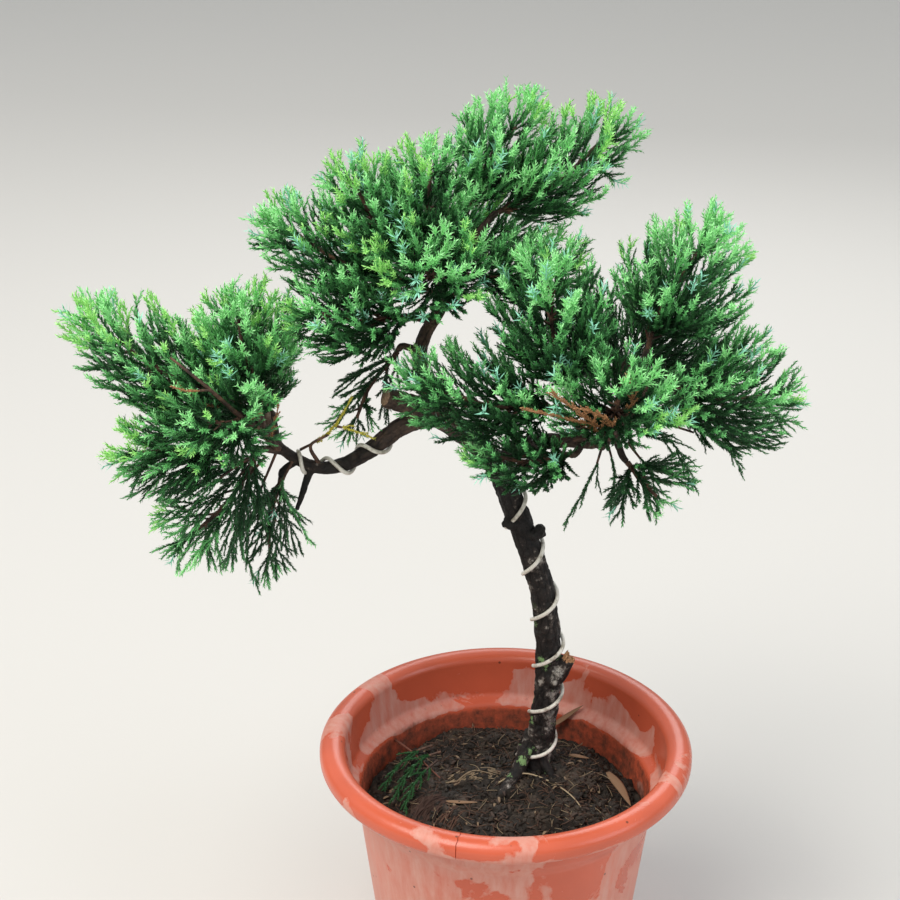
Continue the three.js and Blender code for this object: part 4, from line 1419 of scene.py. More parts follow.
def wire_tree():
    """Geometry Nodes: a round wire along a path, with closed ends."""
    inputs = [("Radius", "Float", 1.5 * MM), ("Sides", "Int", 14), ("Material", "Material", None)]
    tree, given, result = new_tree("round_wire", inputs)
    ring = {"Resolution": given["Sides"], "Radius": given["Radius"]}
    profile = add_node(tree, "GeometryNodeCurvePrimitiveCircle", ring)
    size = add_node(tree, "GeometryNodeInputRadius")
    path = {"Curve": given["Geometry"], "Profile Curve": profile, "Scale": size, "Fill Caps": True}
    wire = add_node(tree, "GeometryNodeCurveToMesh", path)
    return finish_tree(tree, wire, given, result)


def wire_material(settings):
    """Annealed wire with a thin off-white coating, scuffed and grimy where hands and rain left it."""
    material, tree, shader = new_material("coated_training_wire", IOR=1.5)
    grime = noise_at(tree, object_place(tree), 6 * MM, 6.0, 0.65)
    stops = [(0.34, settings.grime), (0.5, settings.colour), (0.75, "efece4")]
    surface = {
        "Base Color": colour_ramp(tree, grime, stops),
        "Roughness": ranged(tree, grime, low=0.65, high=0.3),
        "Normal": bumped(tree, grime, 0.25, 0.3 * MM),
    }
    feed(tree, shader, surface)
    return material


def make_wires(settings):
    tree = wire_tree()
    material = wire_material(settings)
    radius = settings.radius / MM
    trunk_line = wire_line(trunk, radius, TRUNK_WIRE_PITCH, start=0.03, end=0.66, first_turn=67)
    bough_line = wire_line(boughs["left"], radius, BOUGH_WIRE_PITCH, start=0.2, end=0.66, first_turn=-26)
    for name, node, line in [
        ("wire_round_trunk", "trunk_wire", trunk_line),
        ("wire_round_bough", "bough_wire", bough_line),
    ]:
        sizes = np.ones(len(line))
        sizes[[0, -1]] = 0.6
        sizes[[1, -2]] = 0.95
        path = poly_curves(name + "_path", [line], [sizes])
        wire = run_tree(
            path, tree, name, radius=settings.radius, sides=settings.sides, material=material
        )
        wire.data.set_sharp_from_angle(angle=math.radians(60))
        finish_piece(wire, "wire", node)


# Foliage


# Where the crown is open, as a middle and a radius: the front of the right cloud, where its dead twigs
# show, below the top cloud's right end, and before the branch that shows in the left cloud
OPEN_PLACES = [
    ((24, -82, 468), 17),
    ((44, -72, 460), 16),
    ((92, 36, 566), 26),
    ((66, 30, 553), 18),
    ((84, 62, 560), 24),
    ((-147, -26, 424), 9),
    ((-147, -42, 431), 9),
    ((-155, -42, 438), 8),
    ((-164, -54, 451), 8),
    ((-173, -64, 465), 8),
    ((-182, -70, 477), 8),
    ((-166, -72, 460), 9),
    ((-175, -80, 472), 9),
]


class Space:
    """Who has which space: how far points are from each mass's stem, and from the wood."""

    def __init__(self):
        lines = np.array([mass.stem.curve.at(np.linspace(0, 1, 6)) for mass in masses.values()])
        self.starts = lines[:, :-1]
        self.spans = np.diff(lines, axis=1)
        self.spreads = np.array([mass.spread for mass in masses.values()])
        self.order = {name: i for i, name in enumerate(masses)}
        grown = [mass.limb for mass in masses.values() if mass.limb]
        wood = [(limb, limb.sampled(4)) for limb in [trunk, *boughs.values(), *grown]]
        self.wood = np.vstack([points for _, (_, points, _) in wood])
        self.girths = np.concatenate([radii + limb.girth for limb, (_, _, radii) in wood])

    def own_side(self, name, points):
        """At least how far points are on their own mass's side of its borders."""
        own = self.order[name]
        away = points[None, :, None] - self.starts[:, None]
        spans = self.spans[:, None]
        share = np.clip(dot(away, spans) / dot(spans, spans), 0, 1)
        distance = np.linalg.norm(away - share[..., None] * spans, axis=-1).min(axis=2)
        distance /= self.spreads[:, None]
        margin = (distance - distance[own]) / (1 / self.spreads + 1 / self.spreads[own])[:, None]
        margin[own] = np.inf
        return margin.min(axis=0)

    def off_wood(self, points):
        away = np.linalg.norm(points[:, None] - self.wood, axis=-1)
        return (away - self.girths).min(axis=1)

    def fits(self, name, starts, ends, radius):
        """Which straight shoots stay in their mass's space and clear of the wood."""
        inside = masses[name].depth_of(ends) < OUTERMOST
        for share in (0.0, 0.5, 1.0):
            points = mix(starts, ends, share)
            for centre, reach in OPEN_PLACES:
                inside &= np.linalg.norm(points - centre, axis=1) > reach
            inside &= self.own_side(name, points) > radius - SHARED_EDGE
            inside &= self.off_wood(points) > radius
        return inside


# Needles by their age and light: a tone's colour, and how its needles are sized, spread and spaced. The
# tones from shade to tip and golden are dealt out by light: painted shade inside and below the clouds,
# painted light on their skin, tops and ends, and a painted highlight in the brightest, as well as the
# needles' own age, darker when old.
# Juvenile, dead and yellowed needles have their own colours.
TONES = {
    "shade": ("28522f", 1.0, 0.95, 1.0),
    "deep": ("326538", 1.0, 1.0, 1.0),
    "grown": ("4f9155", 1.0, 1.0, 1.0),
    "fresh": ("77c779", 1.15, 1.15, 1.1),
    "tip": ("a4ee9f", 1.35, 1.25, 1.2),
    "golden": ("a9eb86", 1.3, 1.2, 1.2),
    "juvenile": ("93d9bd", 2.3, 1.5, 1.5),
    "dead": ("b0825a", 0.8, 1.2, 1.5),
    "yellowed": ("c4bc4a", 0.9, 1.0, 1.1),
}
LIGHT_STEPS = [0.17, 0.33, 0.49, 0.67]  # where one tone gives way to the next as the light grows
LIT_TONES = ["shade", "deep", "grown", "fresh"]  # from little light to much; the brightest varies
# What the light comes from, which shapes the sprays and is painted into the needles' tones: a place on the
# cloud's skin, its level, the end of its mass, the same where the mass hangs below its cloud and has light
# from the side, and pointing upwards
SKIN_LIGHT = 0.36
LEVEL_LIGHT = 0.28
END_LIGHT = 0.26
HANGING_END_LIGHT = 0.5
UPWARD_LIGHT = 0.14
MOOD = (-0.23, 0.18)  # how much darker or brighter than its light a whole twig may be
BARE = "bare"  # a stretch of twig with no needles
# Which share of a cloud's twigs ends in golden tips, and which of its lit sprays is bluish and juvenile
GOLDEN_SHARE = {"left": 0.6, "top": 0.35, "right": 0.2}
JUVENILE_SHARE = {"left": 0.07, "top": 0.1, "right": 0.15}
# What the tips of a single shoot turn to, where they are fresher than the rest of it
SHOOT_TIPS = {"deep": "grown", "grown": "tip"}


def tones_at(light):
    return np.searchsorted(LIGHT_STEPS, light)


class Crop:
    """The shoots grown so far, by cloud and tone, and the bare twigs by cloud."""

    def __init__(self):
        self.lines = {}

    def add(self, key, lines, sizes):
        """Lines of points, all of one count, with the sizes at those points."""
        sizes = np.broadcast_to(sizes, lines.shape[:2])
        self.lines.setdefault(key, []).extend(zip(lines, sizes))

    def add_lit(self, cloud, light, lines, sizes, brightest="tip"):
        """Shoots whose tone follows their light: painted light and shade, and in part the needles' age."""
        sizes = np.broadcast_to(sizes, lines.shape[:2])
        tones = tones_at(light)
        for i, tone in enumerate([*LIT_TONES, brightest]):
            chosen = tones == i
            self.add((cloud, tone), lines[chosen], sizes[chosen])


def bent_lines(starts, aims, lengths, pull, steps):
    """Lines that leave along their aims and bend towards a pull."""
    lengths = np.asarray(lengths)[:, None]
    ends = starts + lengths * unit(aims + pull)
    middles = starts + 0.55 * lengths * aims
    share = np.linspace(0, 1, steps + 1)[:, None, None]
    lines = (1 - share) ** 2 * starts + 2 * share * (1 - share) * middles + share**2 * ends
    return lines.transpose(1, 0, 2)


def read_lines(lines, shares):
    """Points and directions at one share of each line."""
    place = np.asarray(shares) * (lines.shape[1] - 1)
    step = np.minimum(place.astype(int), lines.shape[1] - 2)
    rows = np.arange(len(lines))
    start, end = lines[rows, step], lines[rows, step + 1]
    return mix(start, end, (place - step)[:, None]), unit(end - start)


def skin_targets(mass, count):
    """Points spread evenly over a mass's skin, from its tip back towards its root."""
    order = np.arange(count)
    along = 1 - 1.72 * (order + 0.5) / count
    ring = np.sqrt(1 - along**2)
    turn = order * GOLDEN_ANGLE
    reach = mass.length * (MASS_MIDDLE + MASS_HALF_LENGTH * along)
    return (
        mass.root
        + np.outer(reach, mass.along)
        + np.outer(mass.wide * ring * np.cos(turn), mass.across)
        + np.outer(mass.deep * ring * np.sin(turn), mass.lift)
    )


def twig_to(mass, target, leaves, steps):
    """A twig from a share of the stem to a target, curling to its end."""
    start = mass.stem.curve.at(leaves)
    length = np.linalg.norm(target - start)
    middle = mix(start, target, 0.5) - mass.curl * length * UP + 0.1 * length * mass.along
    share = np.linspace(0, 1, steps + 1)[:, None]
    return (1 - share) ** 2 * start + 2 * share * (1 - share) * middle + share**2 * target


TWIG_STEPS = 20
TWIG_CUTS = [0, 0.3, 0.5, 0.7, 0.85, 1]  # where a twig may be cut back to, as shares of it
SHOOT_ROOM = 0.6  # how far a shoot stays off the wood


def best_twig(name, target, space):
    """The twig to a target that leaves at the spread angle, or the next along that has more room, cut
    back to what fits."""
    mass = masses[name]
    away = target - mass.root
    share = away @ mass.along / mass.length
    aside = np.linalg.norm(away - share * mass.length * mass.along)
    back = aside / math.tan(math.radians(TWIG_SPREAD)) / mass.length
    first = min(max((share - back) / STEM_SHARE, 0.06), 0.96)
    best, best_reach = None, SHORTEST_REACH
    for leaves in np.arange(first, 1, 0.12):
        line = twig_to(mass, target, leaves, TWIG_STEPS)
        stations = line[[round(cut * TWIG_STEPS) for cut in TWIG_CUTS]]
        free = space.fits(name, stations[:-1], stations[1:], SHOOT_ROOM)
        reach = TWIG_CUTS[int(np.argmin(np.append(free, False)))]
        if reach >= best_reach:
            best, best_reach = line[: round(reach * TWIG_STEPS) + 1], reach + 0.01
        if reach >= TWIG_CUTS[-2]:
            break
    return best


HANGING_FULLNESS = 0.6  # of the twigs, in what hangs below a cloud, which is open
TWIGS_FALL_SHORT = (0.0, 0.3)  # of the way to the skin
SPURS_PER_STEM = 7


class Grower:
    """Grows sprays and shoots on twigs, and notes them in a crop."""

    def __init__(self, settings):
        self.settings = settings
        self.space = Space()
        self.chance = np.random.default_rng(settings.seed)
        self.crop = Crop()
        self.levels = {}
        for cloud in boughs:
            boxes = [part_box(node) for node in nodes_of(cloud, "foliage_")]
            low = min(box[0].z for box in boxes) / MM
            high = max(box[1].z for box in boxes) / MM
            self.levels[cloud] = (low, high)

    def light_on(self, name, points, aims):
        """How much light reaches shoots: most on a cloud's skin, towards its top and its ends. It shapes
        the sprays, and the needles' tones paint it as light and shade.
        """
        own = masses[name]
        low, high = self.levels[own.cloud]
        cloud = [mass for mass in masses.values() if mass.cloud == own.cloud]
        depth = np.min([mass.depth_of(points) for mass in cloud], axis=0)
        outer = np.clip((depth - 0.4) / 0.55, 0, 1) ** 2
        level = np.clip((points[:, 2] - low) / (high - low), 0, 1)
        ends = np.clip((points - own.root) @ own.along / own.length, 0, 1) ** 3
        skin = SKIN_LIGHT * outer * (0.25 + 0.75 * level)
        end_light = END_LIGHT if own.curl >= 0 else HANGING_END_LIGHT
        return skin + LEVEL_LIGHT * level + end_light * ends + UPWARD_LIGHT * aims[:, 2]

    def sprays_on(self, twig, turn, fold_range, full):
        """Where sprays leave a twig, which way, and how long they may be."""
        settings, chance = self.settings, self.chance
        length = np.linalg.norm(np.diff(twig, axis=0), axis=1).sum()
        leafy = (BLADE_END - BARE_FOOT) * length
        count = max(2, round(leafy / (settings.spray_spacing / MM)))
        rows = (np.arange(count) + chance.uniform(0.2, 0.8, count)) / count
        shares = mix(BARE_FOOT, BLADE_END, rows)
        starts, along = read_lines(np.repeat(twig[None], count, axis=0), shares)
        whole = twig[-1] - twig[0]
        reference = turned(sideways_of(whole), unit(whole), np.array(turn))
        side, other = square_to(along, reference)
        sign = np.where(np.arange(count) % 2, 1.0, -1.0)[:, None]
        spread = np.radians(SPRAY_SPREAD * chance.uniform(0.75, 1.15, count) * mix(1.1, 0.8, rows))
        fold = np.radians(chance.uniform(*fold_range, count))[:, None]
        across = sign * np.cos(fold) * side + np.sin(fold) * other
        aims = np.cos(spread)[:, None] * along + np.sin(spread)[:, None] * across
        lengths = full * (1 - 0.4 * rows) * chance.uniform(0.7, 1.12, count)
        return starts, aims, lengths, along

    def shoots_on(self, sprays, lengths, light):
        """Short shoots to either side of each spray, longest near its foot."""
        settings, chance = self.settings, self.chance
        # In the light a spray ends in a plume of short spreading shoots. In the shade it is a long cord
        # with a few shoots that run nearly along it.
        lit = smooth_step(0.2, 0.6, light)
        spacing = settings.shoot_spacing / MM * mix(2.2, 1.1, lit)
        counts = np.floor(0.6 * lengths / spacing).astype(int)
        owner = np.repeat(np.arange(len(sprays)), counts)
        if not len(owner):
            return
        order = np.concatenate([np.arange(count) for count in counts])
        places = (order + chance.uniform(0, 0.6, len(order))) * spacing[owner] / lengths[owner]
        shares = np.minimum(0.36 + places, 0.95)
        starts, along = read_lines(sprays[owner], shares)
        side, other = square_to(along, sideways_of(np.array([0.3, 0.9, 0.1])))
        turn = np.pi * order + chance.uniform(-0.9, 0.9, len(order)) + 2.4 * owner
        across = np.cos(turn)[:, None] * side + np.sin(turn)[:, None] * other
        lit = lit[owner]
        spread = np.radians(mix(22, 40, lit) * chance.uniform(0.8, 1.2, len(order)))[:, None]
        aims = np.cos(spread) * along + np.sin(spread) * across
        sizes = (settings.shoot_length / MM) * (1 - 0.5 * shares) * chance.uniform(0.6, 1.1, len(order))
        sizes *= mix(1.7, 1.25, lit)
        lines = bent_lines(starts, aims, sizes, 0.25 * along + 0.12 * UP, 1)
        # Shoots further out along a spray take brighter tones: painted light, and newer needles
        return lines, light[owner] + 0.22 * (shares - 0.5) + chance.uniform(-0.05, 0.1, len(order))

    def dress(self, name, twig):
        """Clothes a twig of a mass with needles, sprays and shoots."""
        mass, chance, crop = masses[name], self.chance, self.crop
        cloud = mass.cloud
        bare = round(BARE_FOOT * (len(twig) - 1))
        crop.add((cloud, BARE), twig[None, : bare + 1], np.linspace(0.95, 0.75, bare + 1))
        mood = chance.uniform(*MOOD)
        brightest = "golden" if chance.random() < GOLDEN_SHARE[cloud] else "tip"
        leafy = twig[bare:]
        half = len(leafy) // 2
        along = unit(np.gradient(leafy, axis=0))
        light = self.light_on(name, leafy[[half, -1]], along[[half, -1]]) + mood
        lower, upper = leafy[None, : half + 1], leafy[None, half:]
        # Painted shade and light: the foot half of the twig, deep in its mass, takes darker tones than its
        # end
        crop.add_lit(cloud, light[:1] - 0.3, lower, np.linspace(1.15, 1.0, half + 1))
        crop.add_lit(cloud, light[1:] + 0.1, upper, np.linspace(1.0, 0.75, len(leafy) - half))

        turn = math.radians(FROND_TURN) * chance.uniform(-1, 1)
        # Slim twigs stand out from full ones like fingers
        full = self.settings.spray_length / MM * chance.uniform(0.5, 1.15)
        starts, aims, lengths, along = self.sprays_on(twig, turn, (-25, 50), full)
        kept = np.zeros(len(starts))
        for share in (0.5, 0.75, 1.0):
            ends = starts + share * lengths[:, None] * aims
            free = self.space.fits(name, mix(starts, ends, 0.3), ends, SHOOT_ROOM)
            kept = np.where(free, share, kept)
        some = kept > 0
        starts, aims, along = starts[some], aims[some], along[some]
        lengths = (lengths * kept)[some]
        if not len(starts):
            return
        rise = 0.3 if mass.curl > 0 else 0.05
        sprays = bent_lines(starts, aims, lengths, 0.35 * along + rise * UP, 4)
        light = self.light_on(name, sprays[:, -1], aims) + mood
        light = light + chance.uniform(-0.08, 0.08, len(sprays))
        # Painted shade and light: each spray's foot takes darker tones than its middle, and its end
        # brighter ones
        crop.add_lit(cloud, light - 0.25, sprays[:, :3], np.array([1.0, 0.97, 0.93]))
        bluish = JUVENILE_SHARE[cloud] * mix(0.25, 1, smooth_step(0.3, 0.7, light))
        young = chance.random(len(sprays)) < bluish
        crop.add((cloud, "juvenile"), sprays[young, 2:], np.array([0.9, 0.8, 0.6]))
        old = ~young
        crop.add_lit(cloud, light[old] + 0.04, sprays[old, 2:4], np.array([0.93, 0.85]), brightest)
        crop.add_lit(cloud, light[old] + 0.16, sprays[old, 3:], np.array([0.85, 0.66]), brightest)
        shoots = self.shoots_on(sprays, lengths, light)
        if shoots:
            lines, shoot_light = shoots
            crop.add_lit(cloud, shoot_light + 0.06, lines, np.array([0.9, 0.65]), brightest)

    def grow_mass(self, name):
        """A mass: its stem, a twig that carries the stem on, twigs to all sides, and dead spurs."""
        mass = masses[name]
        _, points, radii = mass.stem.sampled(6)
        self.crop.add((mass.cloud, BARE), points[None], radii)
        fullness = HANGING_FULLNESS if mass.curl < 0 else 1.0
        count = round(fullness * mass.size / (self.settings.twig_spacing / MM))
        for target in [mass.tip, *skin_targets(mass, count)]:
            short = self.chance.uniform(*TWIGS_FALL_SHORT)
            twig = best_twig(name, mix(target, mass.stem.curve.at(0.7), short), self.space)
            if twig is not None:
                self.dress(name, twig)
        self.grow_spurs(mass, SPURS_PER_STEM)

    def grow_spurs(self, mass, count):
        """Short dead spurs that old needles leave on a stem."""
        chance = self.chance
        shares = chance.uniform(0.05, 0.9, count)
        starts = mass.stem.curve.at(shares)
        aims = unit(chance.normal(size=(count, 3)) + 0.4 * mass.along)
        lines = bent_lines(starts, aims, chance.uniform(3, 9, count), 0.2 * UP, 2)
        self.crop.add((mass.cloud, BARE), lines, np.array([0.8, 0.55, 0.3]))

    def grow_line(self, cloud, tone, tips, points, full):
        """A single branchlet on its own: a bare foot, then sprays and shoots of one tone, with their
        tips in another."""
        steps = 16
        line = Curve(points).at(np.linspace(0, 1, steps + 1))
        foot = round(0.25 * steps)
        crop = self.crop
        crop.add((cloud, BARE), line[None, : foot + 1], np.linspace(1.0, 0.75, foot + 1))
        end = round(0.8 * steps)
        crop.add((cloud, tone), line[None, foot : end + 1], np.linspace(1.0, 0.8, end + 1 - foot))
        crop.add((cloud, tips), line[None, end:], np.linspace(0.8, 0.7, steps + 1 - end))
        starts, aims, lengths, along = self.sprays_on(line, 0.3, (-20, 40), full)
        sprays = bent_lines(starts, aims, lengths, 0.4 * along, 4)
        crop.add((cloud, tone), sprays[:, :4], np.array([0.95, 0.87, 0.79, 0.7]))
        crop.add((cloud, tips), sprays[:, 3:], np.array([0.7, 0.6]))
        light = np.full(len(sprays), 0.3)
        shoots = self.shoots_on(sprays, lengths, light)
        if shoots:
            lines, shoot_light = shoots
            last = shoot_light > light[0] + 0.08
            crop.add((cloud, tone), lines[~last], np.array([0.85, 0.6]))
            crop.add((cloud, tips), lines[last], np.array([0.85, 0.6]))


# Single shoots that show by themselves: the cloud, the tone, the way they go and their longest spray
SINGLE_SHOOTS = [
    ("left", "yellowed", [(-131, 2, 404), (-119, -6, 414), (-108, -12, 426), (-97, -16, 446)], 9),
    ("left", "yellowed", [(-108, -12, 426), (-98, -14, 424), (-84, -11, 417)], 7),
    ("left", "dead", [(-150, -6, 408), (-146, -16, 424), (-141, -22, 444)], 9),
    ("left", "dead", [(-172, -14, 440), (-186, -26, 446), (-200, -32, 462)], 8),
    ("left", "dead", [(-157, -38, 439), (-154, -50, 448), (-148, -56, 452)], 5),
    ("left", "dead", [(-176, -59, 468), (-188, -66, 470), (-196, -70, 474)], 5),
    ("right", "dead", [(60, -30, 424), (40, -56, 446), (4, -74, 462)], 14),
    ("right", "dead", [(58, -36, 430), (42, -62, 452), (20, -78, 474)], 13),
    ("right", "dead", [(62, -34, 430), (54, -60, 450), (38, -78, 464)], 12),
    ("right", "dead", [(66, -30, 434), (70, -50, 458), (64, -66, 480)], 9),
    ("right", "deep", [(57, -10, 412), (52, -16, 398), (43, -20, 380), (34, -22, 364)], 16),
    ("right", "deep", [(60, -12, 414), (64, -18, 398), (63, -20, 376)], 14),
    ("right", "deep", [(72, -14, 416), (86, -24, 398), (91, -28, 374)], 17),
    ("right", "deep", [(80, -6, 428), (102, -20, 414), (112, -26, 390)], 17),
    ("right", "deep", [(96, -4, 440), (126, -16, 424), (142, -22, 400)], 17),
    ("left", "grown", [(-136, -2, 398), (-142, -10, 384), (-134, -12, 364), (-125, -12, 345)], 12),
    ("left", "deep", [(-146, -4, 404), (-158, -14, 376), (-166, -16, 344), (-160, -16, 317)], 15),
    ("left", "grown", [(-152, -10, 404), (-172, -24, 384), (-183, -26, 358), (-180, -26, 334)], 15),
    ("left", "grown", [(-158, -14, 408), (-184, -32, 394), (-200, -34, 371), (-207, -36, 336)], 15),
]
FALLEN_SPRIGS = [
    [(-44, 36, 159), (-56, 26, 160), (-68, 8, 157), (-76, -14, 153)],
    [(-50, 44, 159), (-64, 34, 159), (-76, 18, 155), (-83, 2, 151)],
    [(-46, 24, 160), (-56, 8, 160), (-64, -10, 158), (-68, -26, 154)],
]
LEFT_BRANCH_POINTS = [
    (-144, -6, 408),
    (-153, -30, 431),
    (-162, -45, 446),
    (-179, -60, 471),
    (-199, -56, 487),
]
# Twigs with no needles: the cloud, the radius at the foot and the way they go
BARE_TWIGS = [
    ("right", 1.5, [(57, -8, 413), (43, -14, 418), (24, -22, 416), (5, -29, 412)]),
    ("right", 1.5, [(63, -5, 420), (80, -12, 432), (96, -14, 428), (112, -18, 424)]),
    ("left", 1.5, [(-120, 2, 395), (-124, -6, 410), (-112, -12, 420)]),
    ("left", 2.3, LEFT_BRANCH_POINTS),
]


def shoot_tree():
    """Geometry Nodes: a thin core along each shoot, and kite-shaped needles in a spiral round it."""
    inputs = [
        ("Core", "Float", 0.6 * MM),
        ("Spacing", "Float", 0.55 * MM),
        ("Length", "Float", 3.6 * MM),
        ("Width", "Float", 1.15 * MM),
        ("Spread", "Float", 0.47),
        ("Seed", "Int", 0),
        ("Material", "Material", None),
    ]
    tree, given, result = new_tree("needled_shoots", inputs)
    size = add_node(tree, "GeometryNodeInputRadius")
    profile = add_node(tree, "GeometryNodeCurvePrimitiveCircle", {"Resolution": 3, "Radius": given["Core"]})
    path = {"Curve": given["Geometry"], "Profile Curve": profile, "Scale": size}
    core = add_node(tree, "GeometryNodeCurveToMesh", path)
    # A kite, widest a third of the way up, with its foot at the origin
    foot = calculate(tree, "MULTIPLY", given["Length"], 0.36)
    point = calculate(tree, "MULTIPLY", given["Length"], 0.64)
    outline = {"Width": given["Width"], "Bottom Height": foot, "Top Height": point}
    kite = add_node(tree, "GeometryNodeCurvePrimitiveQuadrilateral", outline, mode="KITE")
    blade_face = add_node(tree, "GeometryNodeFillCurve", {"Curve": kite})
    lifted = {"Translation": add_node(tree, "ShaderNodeCombineXYZ", {"Y": foot})}
    grounded = add_node(tree, "GeometryNodeTransform", {"Geometry": blade_face, **lifted})
    # It leans out from the shoot, which runs along Z, with its flat side up
    lean = calculate(tree, "ADD", given["Spread"], math.pi / 2)
    leaning = {"Rotation": add_node(tree, "ShaderNodeCombineXYZ", {"X": lean, "Z": math.pi / 2})}
    needle = add_node(tree, "GeometryNodeTransform", {"Geometry": grounded, **leaning})
    rows = {"Curve": given["Geometry"], "Length": given["Spacing"]}
    stations = add_node(tree, "GeometryNodeCurveToPoints", rows, mode="LENGTH")
    index = add_node(tree, "GeometryNodeInputIndex")
    jitter = random_numbers(tree, -0.4, 0.4, given["Seed"])
    turn = calculate(tree, "MULTIPLY_ADD", index, GOLDEN_ANGLE, jitter)
    spin = add_node(tree, "FunctionNodeAxisAngleToRotation", {"Axis": (0, 0, 1), "Angle": turn})
    spun = {"Rotation": stations.outputs["Rotation"], "Rotate By": spin}
    facing = add_node(tree, "FunctionNodeRotateRotation", spun, rotation_space="LOCAL")
    unlike = random_numbers(tree, 0.82, 1.15, given["Seed"])
    scale = calculate(tree, "MULTIPLY", size, unlike)
    needles = placed_on(tree, stations, needle, facing, scale)
    both = add_node(tree, "GeometryNodeJoinGeometry", {"Geometry": core})
    tree.links.new(needles.outputs[0], both.inputs[0])
    real = add_node(tree, "GeometryNodeRealizeInstances", {"Geometry": both})
    return finish_tree(tree, real, given, result)


def twig_material():
    """The thin bark of young wood: reddish brown, peeling to orange in places."""
    material, tree, shader = new_material("young_juniper_bark", IOR=1.45, Roughness=0.72)
    peel = noise_at(tree, object_place(tree), 7 * MM, 6.0, 0.65)
    stops = [(0.35, "2a201b"), (0.5, "4d382d"), (0.62, "6f4f3e"), (0.75, "9a7459")]
    colour = colour_ramp(tree, peel, stops)
    feed(tree, shader, {"Base Color": colour, "Normal": bumped(tree, peel, 0.6, 0.5 * MM)})
    return material


def make_foliage(settings):
    grower = Grower(settings)
    for name in masses:
        grower.grow_mass(name)
    for cloud, tone, points, full in SINGLE_SHOOTS:
        grower.grow_line(cloud, tone, SHOOT_TIPS.get(tone, tone), points, full)
    for points in FALLEN_SPRIGS:
        grower.grow_line("fallen", "deep", "deep", points, 14)
    steps = 12
    for cloud, radius, points in BARE_TWIGS:
        line = Curve(points).at(np.linspace(0, 1, steps))
        grower.crop.add((cloud, BARE), line[None], np.linspace(radius, 0.7, steps))
    needles = shoot_tree()
    twigs = wire_tree()
    bark = twig_material()
    finishes = {
        tone: plain_material(f"{tone}_juniper_needles", facts[0], 0.5) for tone, facts in TONES.items()
    }
    for (cloud, tone), grown in grower.crop.lines.items():
        lines, sizes = zip(*grown)
        path = poly_curves(f"{cloud}_{tone}_path", lines, sizes)
        if tone == BARE:
            piece = run_tree(path, twigs, f"twigs_{cloud}", radius=MM, sides=5, material=bark)
            piece.data.shade_smooth()
            finish_piece(piece, "bark", *nodes_of(cloud, "foliage_"))
            continue
        _, long, spread, spacing = TONES[tone]
        piece = run_tree(
            path,
            needles,
            f"needles_{cloud}_{tone}",
            spacing=settings.needle_spacing * spacing,
            length=settings.needle_length * long,
            width=settings.needle_width,
            spread=settings.needle_spread * spread,
            material=finishes[tone],
        )
        finish_piece(piece, "foliage", *nodes_of(cloud, "foliage_"))


# Stage


# Round area lamps: a name, where they stand and what they face, in metres, their width, power and colour
LAMPS = [
    ("sky_panel", (-1.8, -1.4, 3.85), (0, 0, 0.35), 3.2, 185, "fffaf2"),
    ("right_fill", (1.8, -1.0, 1.2), (0, 0, 0.35), 1.4, 11, "eaf2ff"),
    ("back_rim", (0.4, 1.8, 1.5), (0, 0, 0.45), 1.2, 10, "ffffff"),
]


def soft_light(name, place, target, size, power, colour):
    data = bpy.data.lights.new(name, "AREA")
    data.shape = "DISK"
    data.size = size
    data.energy = power
    data.color = linear(colour)[:3]
    lamp = new_object(name, data)
    lamp.location = place
    lamp.rotation_euler = (Vector(target) - Vector(place)).to_track_quat("-Z", "Y").to_euler()


def backdrop():
    """A round floor that curves up into a low wall all round, so that no horizon shows."""
    flat, curve, top = 9000, 3000, 4300
    turns = np.linspace(0, np.pi / 2, 13)
    bend = np.column_stack([flat + curve * np.sin(turns), curve * (1 - np.cos(turns))])
    outline = [(1000, 0), (4000, 0), *bend, (flat + curve, top)]
    columns = 72
    angles = 2 * np.pi * np.arange(columns) / columns
    rings = []
    for out, level in outline:
        rings += [(out * math.cos(turn), out * math.sin(turn), level) for turn in angles]
    faces = []
    for i in range(columns):
        j = (i + 1) % columns
        faces.append([len(rings), i, j])
        for row in range(len(outline) - 1):
            near, far = row * columns, (row + 1) * columns
            faces.append([near + i, far + i, far + j, near + j])
    return np.array([*rings, (0, 0, 0)], float), faces


def make_stage(settings):
    scene = bpy.context.scene
    data = bpy.data.cameras.new("photo_camera")
    data.lens = settings.lens
    data.sensor_width = 36
    camera = new_object("photo_camera", data)
    camera.location = settings.place
    camera.rotation_euler = (math.pi / 2 - settings.pitch, 0, 0)
    scene.camera = camera

    floor = new_mesh("floor", *backdrop())
    material, tree, shader = new_material("matt_studio_floor", Roughness=0.9)
    feed(tree, shader, {"Base Color": settings.floor})
    floor.data.materials.append(material)

    world = bpy.data.worlds.new("studio")
    world.use_nodes = True
    sky = {"Color": linear("eef2f5"), "Strength": 0.75}
    feed(world.node_tree, world.node_tree.nodes["Background"], sky)
    scene.world = world
    scene.view_settings.view_transform = "Standard"
    for lamp in LAMPS:
        soft_light(*lamp)


# Operators and panel


class BONSAI_OT_stage(bpy.types.Operator):
    """Set the camera where the photograph was taken, with a pale floor and soft light"""

    bl_idname = "bonsai.stage"
    bl_label = "Stage"

    def execute(self, context):
        make_stage(context.scene.bonsai_stage)
        return {"FINISHED"}


class BONSAI_OT_pot(bpy.types.Operator):
    """Turn the plastic pot, with its drain holes and its cracked lip"""

    bl_idname = "bonsai.pot"
    bl_label = "Pot"

    def execute(self, context):
        make_pot(context.scene.bonsai_pot)
        return {"FINISHED"}


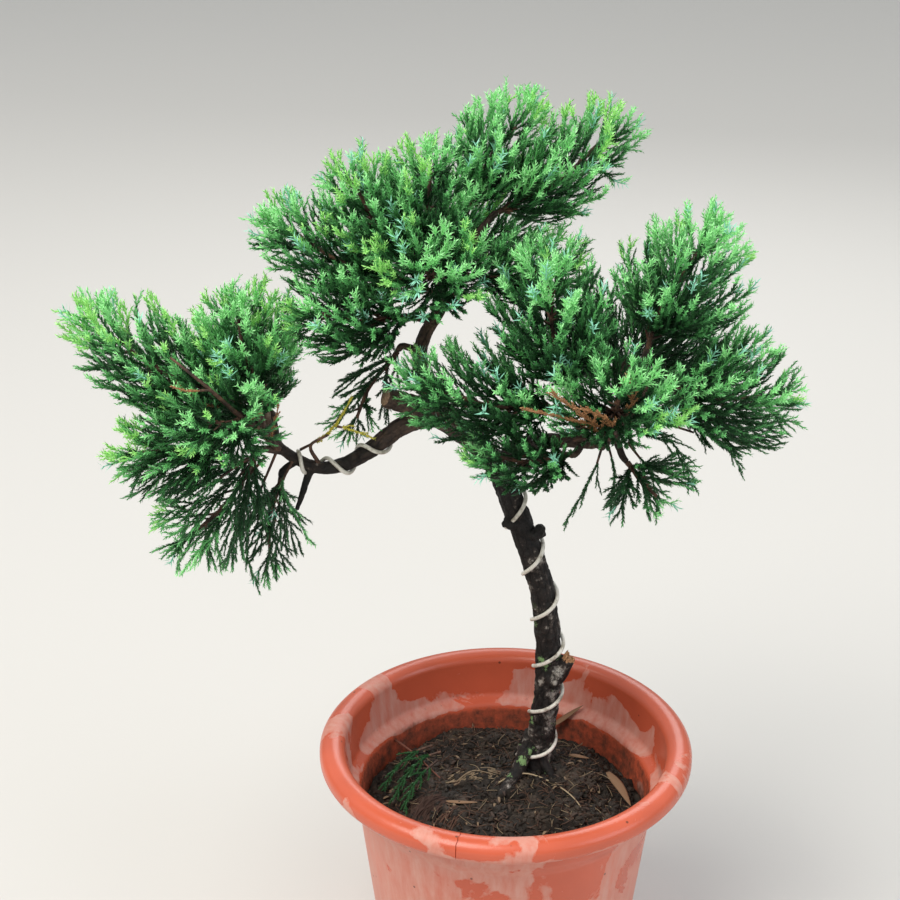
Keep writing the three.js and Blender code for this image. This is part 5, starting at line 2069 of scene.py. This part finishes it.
class BONSAI_OT_soil(bpy.types.Operator):
    """Fill the pot with damp soil, loose crumbs, root fibres and litter"""

    bl_idname = "bonsai.soil"
    bl_label = "Soil"

    def execute(self, context):
        make_soil(context.scene.bonsai_soil)
        make_litter()
        return {"FINISHED"}


class BONSAI_OT_wood(bpy.types.Operator):
    """Cover the trunk, boughs and limbs with one skin of carved bark"""

    bl_idname = "bonsai.wood"
    bl_label = "Trunk and Boughs"

    def execute(self, context):
        make_wood(context.scene.bonsai_bark)
        return {"FINISHED"}


class BONSAI_OT_wire(bpy.types.Operator):
    """Wind the training wire round the trunk and the left bough"""

    bl_idname = "bonsai.wire"
    bl_label = "Training Wire"

    def execute(self, context):
        make_wires(context.scene.bonsai_wire)
        return {"FINISHED"}


class BONSAI_OT_foliage(bpy.types.Operator):
    """Grow the twigs, sprays, shoots and needles of every mass of foliage"""

    bl_idname = "bonsai.foliage"
    bl_label = "Foliage"

    def execute(self, context):
        make_foliage(context.scene.bonsai_foliage)
        return {"FINISHED"}


STEPS = [
    BONSAI_OT_stage,
    BONSAI_OT_pot,
    BONSAI_OT_soil,
    BONSAI_OT_wood,
    BONSAI_OT_wire,
    BONSAI_OT_foliage,
]


class BONSAI_PT_panel(bpy.types.Panel):
    """The bonsai's steps and their settings"""

    bl_label = "Conifer Bonsai"
    bl_space_type = "VIEW_3D"
    bl_region_type = "UI"
    bl_category = "Bonsai"

    def draw(self, context):
        for step in STEPS:
            box = self.layout.box()
            box.operator(step.bl_idname)
            settings = getattr(context.scene, "bonsai_" + step.bl_idname.split(".")[1], None)
            for name in settings.__annotations__ if settings else ():
                box.prop(settings, name)


CLASSES = [*SETTINGS.values(), *STEPS, BONSAI_PT_panel]


def register():
    for cls in CLASSES:
        bpy.utils.register_class(cls)
    for name, cls in SETTINGS.items():
        setattr(bpy.types.Scene, name, bpy.props.PointerProperty(type=cls))


def unregister():
    for name in SETTINGS:
        delattr(bpy.types.Scene, name)
    for cls in reversed(CLASSES):
        bpy.utils.unregister_class(cls)


def main():
    register()
    for step in STEPS:
        group, action = step.bl_idname.split(".")
        getattr(getattr(bpy.ops, group), action)()


if __name__ == "__main__":
    main()
